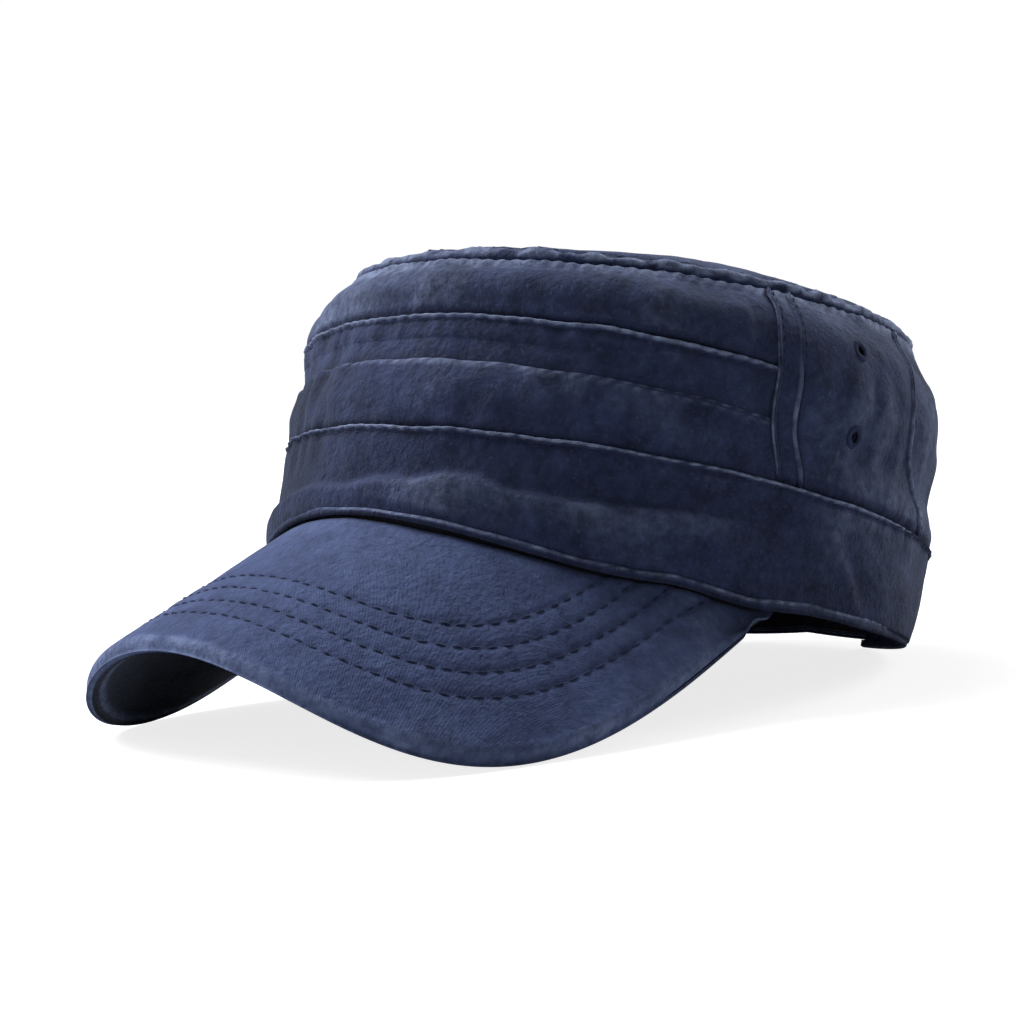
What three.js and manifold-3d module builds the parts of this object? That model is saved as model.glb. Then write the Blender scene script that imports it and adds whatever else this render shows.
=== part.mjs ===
// A cadet cap of washed cotton: a flat-topped crown whose front is stitched in three strips,
// a head band all round, and a curved peak of an upper and an under cover.
//
// Millimetres, +Z up, the front faces -Y and the wearer's left is +X. Everything is modelled in the
// head frame, where the crown stands upright, and then leans back as the cap does when it is put
// down: it rests on the two lowest edges of the peak and on the hem at the back.

import * as THREE from 'three';
import { mergeVertices } from 'three/addons/utils/BufferGeometryUtils.js';
import Module from 'manifold-3d';

const wasm = await Module();
wasm.setup();

const { degToRad, lerp, smoothstep } = THREE.MathUtils;

// ---- Driving dimensions -------------------------------------------------------------------------

const CLOTH = 2; // doubled cotton
const GAP = 0.3; // between neighbouring pieces
const HEM_GAP = 0.5; // between the hem and the faceted peak that it stands on
const LEAN = degToRad(16.3); // how far the crown tips back on a flat surface

// The crown's ovals from the hem up. front, rear and side are half lengths. height is measured at
// mid length and climbs by slope for each millimetre towards the back. The hem's height is worked
// out from the peak that it is sewn to. push is how far the soft cloth stands out on the front
// right, where the cap has been pressed.
const LEVELS = [
  { name: 'hem', front: 101.3, rear: 98.2, side: 85.4, push: 3.2 },
  { name: 'lower seam', front: 100, rear: 100.4, side: 87.8, height: 29.6, slope: -0.02, push: 1 },
  { name: 'tuck', front: 97.6, rear: 96.6, side: 89.4, height: 44.5, slope: -0.06, push: 0.6 },
  { name: 'upper seam', front: 95.2, rear: 96, side: 92, height: 57.7, slope: -0.056, push: 2.2 },
  { name: 'shoulder', front: 94.6, rear: 95, side: 89, height: 72, slope: 0, push: 1 },
  { name: 'top edge', front: 90.2, rear: 87.6, side: 77.5, height: 83.8, slope: 0.055, push: 0 },
];
const PUSH = { angle: degToRad(-42), width: degToRad(24) };
const LEVEL = { hem: 0, lowerSeam: 1, tuck: 2, upperSeam: 3, shoulder: 4, topEdge: 5 };

// Behind the peak the hem first falls and then climbs to the middle of the back. It dips where the
// corners of the peak pull it down.
const HEM = {
  fall: -3.2,
  climb: 10.6,
  dip: 2.3,
  dipAngle: degToRad(74),
  dipWidth: degToRad(10),
  followsPeak: degToRad(60),
  rollHeight: 4.6,
  rollProud: 0.7,
  columns: 72,
};

// Upright seams, as angles from the front: each is nearest to the front at its waist, a level, and
// curves away from it above and below.
const FRONT_SEAM = { angle: 69, waist: 3.4, curve: 0.9 };
const REAR_SEAM = { angle: 102, waist: 3.5, curve: 2 };
const STRIP_ANGLE = 4.2; // the width of the side strips

const DOME = { rise: 12, edgePower: 2.4, roundPower: 2.2 };

// The peak is a strip rolled round a sloping axis. Its bend is tightest on the centre line and has
// faded out at straightAt, measured round the bend.
const PEAK = {
  pitch: degToRad(38.1),
  rootHeight: 5.9,
  bendRadius: 78.8,
  straightAt: 98.6,
  halfWidth: 105.8,
  reach: 64,
  back: 46.9,
  squareness: 3.5,
  thickness: 5,
  tuckedIn: 1.8,
  sewnColumns: 16, // columns of the hem to each side that the peak is sewn to
};

const STRAP = { halfSpan: 19, height: 20, edgeLift: 3.2 };
const EYELET = { angle: 86.8, levels: [2.18, 3.88], hole: 1.8, radius: 4.2, wall: 3 };
const HEM_STEP = degToRad((2 * (180 - STRAP.halfSpan)) / HEM.columns);
const SWEATBAND = { wall: 1.4, coversPeak: 6.6 };
const SEWN_TO = PEAK.sewnColumns * HEM_STEP;

const COLOURS = { crown: 0x2f3759, peak: 0x46527d, lining: 0x1b2036, thread: 0x3a4468 };

// ---- Solids -------------------------------------------------------------------------------------

function addTriangle(positions, a, b, c) {
  if (a.distanceTo(b) < 1e-4 || b.distanceTo(c) < 1e-4 || c.distanceTo(a) < 1e-4) return;
  for (const point of [a, b, c]) positions.push(point.x, point.y, point.z);
}

function addQuad(positions, a, b, c, d) {
  addTriangle(positions, a, b, c);
  addTriangle(positions, a, c, d);
}

// A wall between two grids of points. Columns run anticlockwise seen from above, rows run upwards,
// and a ring's last column joins its first.
function wallGeometry(outer, inner, ring) {
  const positions = [];
  const columns = outer.length;
  const rows = outer[0].length;
  const spans = ring ? columns : columns - 1;
  for (let i = 0; i < spans; i += 1) {
    const k = (i + 1) % columns;
    for (let j = 0; j < rows - 1; j += 1) {
      addQuad(positions, outer[i][j], outer[k][j], outer[k][j + 1], outer[i][j + 1]);
      addQuad(positions, inner[i][j], inner[i][j + 1], inner[k][j + 1], inner[k][j]);
    }
    const top = rows - 1;
    addQuad(positions, outer[k][0], outer[i][0], inner[i][0], inner[k][0]);
    addQuad(positions, outer[i][top], outer[k][top], inner[k][top], inner[i][top]);
  }
  for (let j = 0; j < rows - 1 && !ring; j += 1) {
    const last = columns - 1;
    addQuad(positions, outer[0][j], outer[0][j + 1], inner[0][j + 1], inner[0][j]);
    addQuad(positions, outer[last][j + 1], outer[last][j], inner[last][j], inner[last][j + 1]);
  }
  const geometry = new THREE.BufferGeometry();
  geometry.setAttribute('position', new THREE.Float32BufferAttribute(positions, 3));
  geometry.computeVertexNormals();
  return geometry;
}

function toSolid(geometry) {
  const bare = geometry.clone();
  bare.deleteAttribute('normal');
  bare.deleteAttribute('uv');
  const merged = mergeVertices(bare, 1e-4);
  const vertProperties = merged.getAttribute('position').array;
  const triVerts = new Uint32Array(merged.index.array);
  return new wasm.Manifold(new wasm.Mesh({ numProp: 3, vertProperties, triVerts }));
}

function fromSolid(solid) {
  const mesh = solid.getMesh();
  const geometry = new THREE.BufferGeometry();
  geometry.setAttribute('position', new THREE.BufferAttribute(mesh.vertProperties, 3));
  geometry.setIndex(new THREE.BufferAttribute(mesh.triVerts, 1));
  geometry.computeVertexNormals();
  return geometry;
}

const cap = new THREE.Group();

function addPiece(name, colour, geometry) {
  const material = new THREE.MeshStandardMaterial({ color: colour, roughness: 0.9, metalness: 0 });
  const mesh = new THREE.Mesh(geometry, material);
  mesh.name = name;
  cap.add(mesh);
  return mesh;
}

// ---- The peak's shape ---------------------------------------------------------------------------

const PEAK_FORWARD = new THREE.Vector3(0, -Math.cos(PEAK.pitch), -Math.sin(PEAK.pitch));
const PEAK_UP = new THREE.Vector3(0, -Math.sin(PEAK.pitch), Math.cos(PEAK.pitch));
const PEAK_ROOT = new THREE.Vector3(0, -LEVELS[LEVEL.hem].front, PEAK.rootHeight);

// The angle that the peak has turned through at a distance round the bend.
function bendAt(around) {
  return (around - around ** 3 / (3 * PEAK.straightAt ** 2)) / PEAK.bendRadius;
}

// How far sideways and down a distance round the bend reaches.
function bendReach(around) {
  const steps = 24;
  const step = around / steps;
  let sideways = 0;
  let drop = 0;
  for (let i = 0; i < steps; i += 1) {
    const bend = bendAt((i + 0.5) * step);
    sideways += Math.cos(bend) * step;
    drop += Math.sin(bend) * step;
  }
  return { sideways, drop };
}

// A point of the rolled surface: around is measured round the bend, and ahead along its slope from
// the hem's front.
function peakPoint(around, ahead) {
  const { sideways, drop } = bendReach(around);
  return PEAK_ROOT.clone()
    .addScaledVector(PEAK_FORWARD, ahead)
    .addScaledVector(PEAK_UP, -drop)
    .setX(sideways);
}

// Where the rolled surface lies straight above or below a point in plan.
function peakUnder(x, y) {
  let low = 0;
  let high = PEAK.halfWidth * 1.15;
  for (let i = 0; i < 40; i += 1) {
    const middle = (low + high) / 2;
    if (bendReach(middle).sideways < Math.abs(x)) low = middle;
    else high = middle;
  }
  const around = low * Math.sign(x);
  const start = peakPoint(around, 0);
  const ahead = (start.y - y) / Math.cos(PEAK.pitch);
  return { around, ahead, height: start.z - ahead * Math.sin(PEAK.pitch) };
}

// ---- The crown's shape --------------------------------------------------------------------------

// A smooth hump that is 1 at its middle.
function hump(value, middle, width) {
  return Math.exp(-(((value - middle) / width) ** 2));
}

// The turn from the front at an angle, between -PI and PI.
function turnOf(angle) {
  return Math.atan2(Math.sin(angle), Math.cos(angle));
}

function ovalPoint(level, angle) {
  const { front, rear, side, push } = LEVELS[level];
  const length = Math.cos(angle) > 0 ? front : rear;
  const out = push * hump(turnOf(angle), PUSH.angle, PUSH.width);
  return new THREE.Vector3((side + out) * Math.sin(angle), -(length + out) * Math.cos(angle), 0);
}

function heightOfPeak(angle) {
  const { x, y } = ovalPoint(LEVEL.hem, angle);
  return peakUnder(x, y).height;
}

// The two sides of the hem are pressed differently in front and meet at one height behind.
function hemHeight(angle) {
  const turn = turnOf(angle);
  const follows = HEM.followsPeak;
  const t = Math.max(0, (Math.abs(turn) - follows) / (Math.PI - follows));
  const held = THREE.MathUtils.clamp(turn, -follows, follows);
  const start = lerp(heightOfPeak(held), heightOfPeak(Math.abs(held)), smoothstep(t, 0, 0.7));
  const dip = HEM.dip * hump(Math.abs(turn), HEM.dipAngle, HEM.dipWidth);
  return start + HEM.fall * t + HEM.climb * t * t - dip;
}

// How far the peak's cloth is pulled off its roll to meet the hem at an angle.
function pullToHem(angle) {
  return hemHeight(angle) - heightOfPeak(angle);
}

function levelPoint(level, angle) {
  const point = ovalPoint(level, angle);
  const { height, slope } = LEVELS[level];
  point.z = level === LEVEL.hem ? hemHeight(angle) : height + slope * point.y;
  return point;
}

// The crown's outer surface: one smooth rib through the levels at each angle.
function crownPoint(angle, level) {
  const points = LEVELS.map((_, index) => levelPoint(index, angle));
  const rib = new THREE.CatmullRomCurve3(points, false, 'catmullrom', 0.5);
  return rib.getPoint(level / (LEVELS.length - 1));
}

function crownNormal(angle, level) {
  const step = 0.01;
  const round = crownPoint(angle + step, level).sub(crownPoint(angle - step, level));
  const above = crownPoint(angle, Math.min(level + step, LEVEL.topEdge));
  const up = above.sub(crownPoint(angle, Math.max(level - step, LEVEL.hem)));
  return round.cross(up).normalize();
}

// A point proud of the crown's surface, or inside it where proud is negative.
function proudPoint(angle, level, proud) {
  return crownPoint(angle, level).addScaledVector(crownNormal(angle, level), proud);
}

// The share of a level step that a distance up the side of the crown takes.
function levelShare(level, distance) {
  const step = 0.01;
  const foot = Math.min(level, LEVEL.topEdge - step);
  const span = crownPoint(Math.PI / 2, foot).distanceTo(crownPoint(Math.PI / 2, foot + step));
  return (distance * step) / span;
}

// ---- Walls of cloth -----------------------------------------------------------------------------

// A panel between two angles and two levels. The edges may be numbers or functions: from and to of
// the level, low of the angle. proud gives how far it stands out at its foot, middle and head.
function panel(options) {
  const { from, to, low, high, columns, rows, proud, wall = CLOTH, inset = 0, settle } = options;
  const side = (edge, level) => (typeof edge === 'function' ? edge(level) : edge);
  const ring = options.ring === true;
  const outer = [];
  const inner = [];
  for (let i = 0; i <= columns - (ring ? 1 : 0); i += 1) {
    const outerColumn = [];
    const innerColumn = [];
    for (let j = 0; j <= rows; j += 1) {
      const up = j / rows;
      const across = i / columns;
      const middle = lerp(side(from, high), side(to, high), across);
      const foot = typeof low === 'function' ? low(degToRad(middle)) : low;
      const level = lerp(foot, high, up);
      const angle = degToRad(lerp(side(from, level), side(to, level), across));
      const out = lerp(proud.foot, proud.head, up) + proud.middle * Math.sin(Math.PI * up);
      const outerPoint = proudPoint(angle, level, out - inset);
      const innerPoint = proudPoint(angle, level, Math.min(out, 0) - inset - wall);
      if (settle) settle(outerPoint, angle, j);
      if (settle) settle(innerPoint, angle, j);
      outerColumn.push(outerPoint);
      innerColumn.push(innerPoint);
    }
    outer.push(outerColumn);
    inner.push(innerColumn);
  }
  return wallGeometry(outer, inner, ring);
}

const SEAM_ANGLE = THREE.MathUtils.radToDeg(GAP / 2 / LEVELS[LEVEL.lowerSeam].side) * 1.15;
const above = (level) => level + levelShare(level, GAP / 2);
const below = (level) => level - levelShare(level, GAP / 2);
const ROLL_LEVEL = levelShare(0.1, HEM.rollHeight);
const STRAP_LEVEL = levelShare(0.3, STRAP.height);
const SIDE_ROWS = 7;
const FLAT = { foot: 0, middle: 0, head: 0 };

function uprightSeam(seam, level, shift) {
  return seam.angle + seam.curve * (level - seam.waist) ** 2 + shift;
}
const frontSeam = (level) => uprightSeam(FRONT_SEAM, level, 0);
const sideSeam = (level) => uprightSeam(FRONT_SEAM, level, STRIP_ANGLE);
const rearSeam = (level) => uprightSeam(REAR_SEAM, level, 0);

function buildFrontPanels() {
  const strips = [
    { name: 'front_upper_panel', low: LEVEL.upperSeam, high: LEVEL.topEdge, rows: 4,
      proud: { foot: 0.8, middle: 0.6, head: 0 } },
    { name: 'front_tuck_panel', low: LEVEL.tuck, high: LEVEL.upperSeam, rows: 2,
      proud: { foot: -1.4, middle: 0, head: -0.6 } },
    { name: 'front_middle_panel', low: LEVEL.lowerSeam, high: LEVEL.tuck, rows: 4,
      proud: { foot: -0.4, middle: 1.6, head: 0.8 } },
  ];
  for (const { name, low, high, rows, proud } of strips) {
    const to = (level) => frontSeam(level) - SEAM_ANGLE;
    const edges = { from: (level) => -to(level), to, low: above(low), high: below(high) };
    addPiece(name, COLOURS.crown, panel({ ...edges, columns: 24, rows, proud }));
  }
}

function eyeletPlace(mesh, hand, level) {
  const angle = hand * degToRad(EYELET.angle);
  mesh.position.copy(proudPoint(angle, level, -CLOTH / 2));
  const axis = new THREE.Vector3(0, 1, 0);
  mesh.quaternion.setFromUnitVectors(axis, crownNormal(angle, level));
  mesh.updateMatrix();
}

function punchEyelets(geometry, hand) {
  let solid = toSolid(geometry);
  for (const level of EYELET.levels) {
    const punch = new THREE.Mesh(new THREE.CylinderGeometry(EYELET.radius, EYELET.radius, 12, 16));
    eyeletPlace(punch, hand, level);
    solid = solid.subtract(toSolid(punch.geometry.applyMatrix4(punch.matrix)));
  }
  return fromSolid(solid);
}

function buildSides() {
  const strip = { near: (level) => frontSeam(level) + SEAM_ANGLE,
    far: (level) => sideSeam(level) - SEAM_ANGLE };
  const cloth = { near: (level) => sideSeam(level) + SEAM_ANGLE,
    far: (level) => rearSeam(level) - SEAM_ANGLE };
  const heights = { low: above(LEVEL.lowerSeam), high: below(LEVEL.topEdge), rows: SIDE_ROWS };
  const mirrored = ({ near, far }) => ({ from: (level) => -far(level), to: (level) => -near(level) });
  for (const [hand, word] of [[1, 'left'], [-1, 'right']]) {
    const edges = ({ near, far }) => (hand > 0 ? { from: near, to: far } : mirrored({ near, far }));
    const proud = { foot: 0, middle: 0.3, head: 0 };
    const stripWall = panel({ ...edges(strip), ...heights, columns: 2, proud });
    addPiece(`side_strip_${word}`, COLOURS.crown, stripWall);
    const clothWall = panel({ ...edges(cloth), ...heights, columns: 7, proud: FLAT });
    addPiece(`side_panel_${word}`, COLOURS.crown, punchEyelets(clothWall, hand));
  }
}

function buildEyelets() {
  const half = EYELET.wall / 2;
  const rim = EYELET.radius - GAP;
  const section = [
    new THREE.Vector2(EYELET.hole, -half * 0.5),
    new THREE.Vector2(EYELET.hole + 0.7, -half),
    new THREE.Vector2(rim, -half * 0.7),
    new THREE.Vector2(rim, half * 0.7),
    new THREE.Vector2(EYELET.hole + 0.7, half),
    new THREE.Vector2(EYELET.hole, half * 0.5),
    new THREE.Vector2(EYELET.hole, -half * 0.5),
  ];
  for (const [hand, side] of [[1, 'left'], [-1, 'right']]) {
    EYELET.levels.forEach((level, row) => {
      const ring = new THREE.LatheGeometry(section, 16);
      const name = `eyelet_${side}_${row === 0 ? 'lower' : 'upper'}`;
      eyeletPlace(addPiece(name, COLOURS.thread, ring), hand, level);
    });
  }
}

function buildBack() {
  const from = (level) => rearSeam(level) + SEAM_ANGLE;
  const to = (level) => 360 - rearSeam(level) - SEAM_ANGLE;
  const heights = { low: above(LEVEL.lowerSeam), high: below(LEVEL.topEdge), rows: SIDE_ROWS };
  addPiece('back_panel', COLOURS.crown, panel({ from, to, ...heights, columns: 24, proud: FLAT }));
}

// ---- The top ------------------------------------------------------------------------------------

function topPoint(angle, share) {
  const edge = crownPoint(angle, LEVEL.topEdge);
  const middle = LEVELS[LEVEL.topEdge];
  const point = new THREE.Vector3(edge.x * share, edge.y * share, 0);
  const round = (1 - share ** DOME.edgePower) ** (1 / DOME.roundPower);
  point.z = middle.height + middle.slope * point.y + DOME.rise * round;
  return point;
}

function topNormal(angle, share) {
  const step = 0.01;
  const safe = THREE.MathUtils.clamp(share, 2 * step, 1 - step);
  const round = topPoint(angle + step, safe).sub(topPoint(angle - step, safe));
  const inwards = topPoint(angle, safe - step).sub(topPoint(angle, safe + step));
  return round.cross(inwards).normalize();
}

// The way out of the top's cloth: at its edge it is that of the side panels below.
function topOutwards(angle, share) {
  if (share === 0) return new THREE.Vector3(0, 0, 1);
  return share === 1 ? crownNormal(angle, LEVEL.topEdge) : topNormal(angle, share);
}

function buildTop() {
  const columns = 40;
  const shares = [1, 0.975, 0.93, 0.86, 0.7, 0.45, 0];
  const outer = [];
  const inner = [];
  for (let i = 0; i < columns; i += 1) {
    const angle = (i / columns) * 2 * Math.PI;
    const lift = new THREE.Vector3(0, 0, GAP / 2);
    outer.push(shares.map((share) => topPoint(angle, share).add(lift)));
    inner.push(outer[i].map((point, ring) => (
      point.clone().addScaledVector(topOutwards(angle, shares[ring]), -CLOTH))));
  }
  addPiece('crown_top', COLOURS.crown, wallGeometry(outer, inner, true));
}

// ---- The peak -----------------------------------------------------------------------------------

function peakEdge(turn) {
  const s = Math.sin(turn);
  const c = Math.cos(turn);
  const n = PEAK.squareness;
  const radius = (Math.abs(s) ** n + Math.abs(c) ** n) ** (-1 / n);
  return { around: PEAK.halfWidth * radius * s, ahead: (PEAK.reach + PEAK.back) * radius * c - PEAK.back };
}

// The peak's upper surface: turn runs from -1 to 1 across it, share from 0 at the hem to 1 at the
// free edge. Near the hem the cloth leaves the rolled surface to follow the seam.
function peakSurface(turn, share) {
  const angle = turn * SEWN_TO;
  const outwards = crownNormal(angle, LEVEL.hem).setZ(0).normalize();
  const seam = ovalPoint(LEVEL.hem, angle).addScaledVector(outwards, -PEAK.tuckedIn);
  const inner = peakUnder(seam.x, seam.y);
  const edge = peakEdge((turn * Math.PI) / 2);
  const around = lerp(inner.around, edge.around, share);
  const point = peakPoint(around, lerp(inner.ahead, edge.ahead, share));
  point.z += pullToHem(angle) * (1 - smoothstep(share, 0.3, 1));
  return point;
}

// The way into the peak's thickness: straight down at the seam, and square to the surface beyond it
// and at the corners, scaled so that the thickness stays the same.
function peakInto(turn, share) {
  const step = 0.01;
  const far = Math.min(turn + step, 1);
  const near = Math.max(turn - step, -1);
  const across = peakSurface(far, share).sub(peakSurface(near, share));
  const out = peakSurface(turn, Math.min(share + step, 1));
  const outwards = out.sub(peakSurface(turn, Math.max(share - step, 0)));
  const normal = outwards.cross(across).normalize();
  const straightDown = new THREE.Vector3(0, 0, -1 / normal.z);
  const atSeam = (1 - smoothstep(share, 0, 0.2)) * (1 - smoothstep(Math.abs(turn), 0.84, 1));
  return normal.negate().lerp(straightDown, atSeam);
}

function peakLayer(upper, lower) {
  const columns = PEAK.sewnColumns * 2;
  const rows = 7;
  const faces = [[], []];
  for (let i = 0; i <= columns; i += 1) {
    const turn = (2 * i) / columns - 1;
    faces.forEach((face) => face.push([]));
    for (let j = rows; j >= 0; j -= 1) {
      const point = peakSurface(turn, j / rows);
      const into = peakInto(turn, j / rows);
      faces[0][i].push(point.clone().addScaledVector(into, upper));
      faces[1][i].push(point.clone().addScaledVector(into, lower));
    }
  }
  return wallGeometry(faces[0], faces[1], false);
}

function buildPeak() {
  const middle = PEAK.thickness / 2;
  const half = GAP / 2;
  addPiece('peak_top', COLOURS.peak, peakLayer(0, middle - half));
  addPiece('peak_under', COLOURS.peak, peakLayer(middle + half, PEAK.thickness));
}

// ---- The hem ------------------------------------------------------------------------------------

// The flat surface, seen in the head frame: its height at a distance from the front.
let floorLift = 0;

function measureFloor() {
  cap.rotation.x = -LEAN;
  cap.updateMatrixWorld(true);
  floorLift = -new THREE.Box3().setFromObject(cap, true).min.z;
}

function floorHeight(y) {
  return (y * Math.sin(LEAN) - floorLift) / Math.cos(LEAN);
}

function clearOfPeak(point, angle) {
  const pastPeak = Math.abs(angle) > SEWN_TO + HEM_STEP;
  return pastPeak ? -Infinity : peakUnder(point.x, point.y).height + pullToHem(angle) + HEM_GAP;
}

function settleHem(point, angle, row) {
  const lowest = Math.max(floorHeight(point.y), clearOfPeak(point, angle));
  if (row === 0) point.z = Math.max(point.z, lowest);
}

function buildHem() {
  const half = 180 - STRAP.halfSpan;
  const roll = { from: -half + SEAM_ANGLE, to: half - SEAM_ANGLE, columns: HEM.columns, rows: 2 };
  const proud = { foot: 0, middle: HEM.rollProud, head: 0 };
  const heights = { low: 0, high: below(ROLL_LEVEL), settle: settleHem };
  addPiece('hem_roll', COLOURS.crown, panel({ ...roll, ...heights, proud }));

  const band = { from: -180, to: 180, ring: true, columns: 72, rows: 4 };
  const bandHeights = { low: above(ROLL_LEVEL), high: below(LEVEL.lowerSeam) };
  const bandProud = { foot: 0, middle: 0.8, head: 0 };
  const bandWall = toSolid(panel({ ...band, ...bandHeights, proud: bandProud }));
  const notch = { from: half - SEAM_ANGLE, to: 360 - half + SEAM_ANGLE, columns: 8, rows: 3 };
  const through = { proud: { foot: CLOTH, middle: 0, head: CLOTH }, wall: CLOTH * 2 };
  const notchSpace = toSolid(panel({ ...notch, ...through, low: 0, high: above(STRAP_LEVEL) }));
  addPiece('head_band', COLOURS.crown, fromSolid(bandWall.subtract(notchSpace)));
}

function buildStrap() {
  const reach = STRAP.halfSpan - SEAM_ANGLE;
  const edges = { from: 180 - reach, to: 180 + reach, high: below(STRAP_LEVEL) };
  const low = levelShare(0.1, STRAP.edgeLift);
  addPiece('back_strap', COLOURS.crown, panel({ ...edges, low, columns: 8, rows: 3, proud: FLAT }));
}

function buildSweatband() {
  const settle = (point, angle, row) => {
    const share = 1 - smoothstep(Math.abs(turnOf(angle)), SEWN_TO - 0.4, SEWN_TO - 0.2);
    if (row === 0) point.z -= SWEATBAND.coversPeak * share;
  };
  const ring = { from: -180, to: 180, ring: true, columns: 60, rows: 3, settle };
  const low = levelShare(0.1, 1.5 + STRAP.edgeLift);
  const place = { inset: CLOTH + GAP, wall: SWEATBAND.wall, proud: FLAT };
  const heights = { low, high: LEVEL.lowerSeam * 0.95 };
  addPiece('sweatband', COLOURS.lining, panel({ ...ring, ...heights, ...place }));
}

// ---- Assembly -----------------------------------------------------------------------------------

buildPeak();
measureFloor();
buildFrontPanels();
buildSides();
buildEyelets();
buildBack();
buildTop();
buildHem();
buildStrap();
buildSweatband();

// The origin is on the flat surface, under the middle of the cap's box.
cap.rotation.x = -LEAN;
cap.position.z = floorLift;
cap.updateMatrixWorld(true);
const box = new THREE.Box3().setFromObject(cap, true);
cap.position.y = -(box.min.y + box.max.y) / 2;

const part = new THREE.Group();
part.add(cap);

export default part;
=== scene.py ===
# %% [markdown]
# # A cadet cap in washed cotton twill
# The cap is sewn from flat cloth: a top, three strips across the front, side and back panels, a head
# band with a rolled hem, and a curved peak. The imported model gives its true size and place. Each cell
# below makes one kind of piece on that frame, from the outline of its pattern to its worn edges.

# %% Load the frame
import math

import bpy
import numpy as np
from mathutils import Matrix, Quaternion, Vector


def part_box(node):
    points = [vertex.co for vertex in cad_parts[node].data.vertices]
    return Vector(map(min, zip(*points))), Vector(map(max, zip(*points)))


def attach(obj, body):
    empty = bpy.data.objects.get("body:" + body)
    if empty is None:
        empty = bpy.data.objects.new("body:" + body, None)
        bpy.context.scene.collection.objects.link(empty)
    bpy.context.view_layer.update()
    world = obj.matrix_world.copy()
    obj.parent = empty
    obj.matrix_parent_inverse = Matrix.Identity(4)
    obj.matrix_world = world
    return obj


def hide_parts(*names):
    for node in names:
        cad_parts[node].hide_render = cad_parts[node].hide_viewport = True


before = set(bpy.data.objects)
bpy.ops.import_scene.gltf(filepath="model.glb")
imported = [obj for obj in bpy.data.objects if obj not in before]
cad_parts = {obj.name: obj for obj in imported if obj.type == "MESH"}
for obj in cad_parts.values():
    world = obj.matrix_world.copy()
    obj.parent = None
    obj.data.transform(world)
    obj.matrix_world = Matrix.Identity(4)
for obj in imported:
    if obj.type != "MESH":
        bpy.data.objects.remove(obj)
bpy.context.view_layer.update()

MM = 0.001  # the pattern is written in millimetres, and the scene is in metres

# %% [markdown]
# ## The camera
# The camera comes first, so that every later choice can be judged through it. A cap is looked at
# from eye height beside a shelf: a long lens, almost level, from the front and the wearer's left.

# %% Set the camera
CAMERA_PLACE = Vector((0.4442, -0.4314, 0.0873))
CAMERA_TARGET = Vector((-0.0169, 0.0051, 0.0524))
CAMERA_ROLL = math.radians(-3.88)
CAMERA_LENS = 76.07  # millimetres, on a 36 mm sensor

bpy.ops.object.camera_add(location=CAMERA_PLACE)
camera = bpy.context.object
camera.name = "camera"
camera.data.lens = CAMERA_LENS
camera.data.sensor_width = 36
camera.data.clip_start = 0.01
camera.rotation_mode = "QUATERNION"
level_view = (CAMERA_TARGET - CAMERA_PLACE).to_track_quat("-Z", "Y")
camera.rotation_quaternion = level_view @ Quaternion((0, 0, 1), CAMERA_ROLL)
bpy.context.scene.camera = camera
print("camera to target:", round((CAMERA_TARGET - CAMERA_PLACE).length, 3), "m")

# %% [markdown]
# ## The crown's pattern
# A crown is easiest to describe upright, as it sits on a head: a stack of ovals, one for each seam
# level, with a smooth rib through them at every angle. These are the same driving dimensions as the
# frame's. An angle of 0 is the middle of the front, and 90 degrees is the wearer's left.

# %% Driving dimensions of the crown
LEAN = math.radians(16.3)
CROWN_LEVELS = np.array([
    # front, rear, side, height, slope, push
    (101.3, 98.2, 85.4, 0.0, 0.0, 3.2),
    (100.0, 100.4, 87.8, 29.6, -0.02, 1.0),
    (97.6, 96.6, 89.4, 44.5, -0.06, 0.6),
    (95.2, 96.0, 92.0, 57.7, -0.056, 2.2),
    (94.6, 95.0, 89.0, 72.0, 0.0, 1.0),
    (90.2, 87.6, 77.5, 83.8, 0.055, 0.0),
])
FRONT, REAR, SIDE, HEIGHT, SLOPE, PUSH_OUT = CROWN_LEVELS.T
HEM, LOWER_SEAM, TUCK, UPPER_SEAM, SHOULDER, TOP_EDGE = range(6)
PUSH_ANGLE, PUSH_WIDTH = math.radians(-42), math.radians(24)
HEM_FALL, HEM_CLIMB = -3.2, 10.6
HEM_DIP, DIP_ANGLE, DIP_WIDTH = 2.3, math.radians(74), math.radians(10)
HEM_FOLLOWS_PEAK = math.radians(60)
DOME_RISE, DOME_EDGE_POWER, DOME_ROUND_POWER = 12, 2.4, 2.2

PEAK_PITCH = math.radians(38.1)
PEAK_ROOT_HEIGHT = 5.9
PEAK_BEND_RADIUS, PEAK_STRAIGHT_AT = 78.8, 98.6
PEAK_HALF_WIDTH, PEAK_REACH, PEAK_BACK, PEAK_SQUARENESS = 105.8, 64, 46.9, 3.5
PEAK_THICKNESS, PEAK_TUCKED_IN = 5, 1.8

STRAP_HALF_SPAN, STRAP_HEIGHT, STRAP_EDGE_LIFT = 19, 20, 3.2
HEM_COLUMNS, SEWN_COLUMNS = 72, 16
PEAK_SEWN_TO = math.radians(2 * (180 - STRAP_HALF_SPAN) / HEM_COLUMNS) * SEWN_COLUMNS
ROLL_HEIGHT = 4.6
CLOTH_THICK = 1.1

# %% [markdown]
# Two surfaces come from these numbers. The crown's runs a smooth curve up through the ovals at each
# angle. The peak's is a flat sheet rolled round a sloping axis. The hem's front follows the peak.

# %% Surfaces of the crown


def smoothstep(value, low, high):
    t = np.clip((value - low) / (high - low), 0, 1)
    return t * t * (3 - 2 * t)


def hump(value, middle, width):
    return np.exp(-(((value - middle) / width) ** 2))


def turn_of(angle):
    return np.arctan2(np.sin(angle), np.cos(angle))


def oval(level, angle):
    """x and y of one of the crown's ovals."""
    length = np.where(np.cos(angle) > 0, FRONT[level], REAR[level])
    out = PUSH_OUT[level] * hump(turn_of(angle), PUSH_ANGLE, PUSH_WIDTH)
    return (SIDE[level] + out) * np.sin(angle), -(length + out) * np.cos(angle)


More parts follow.
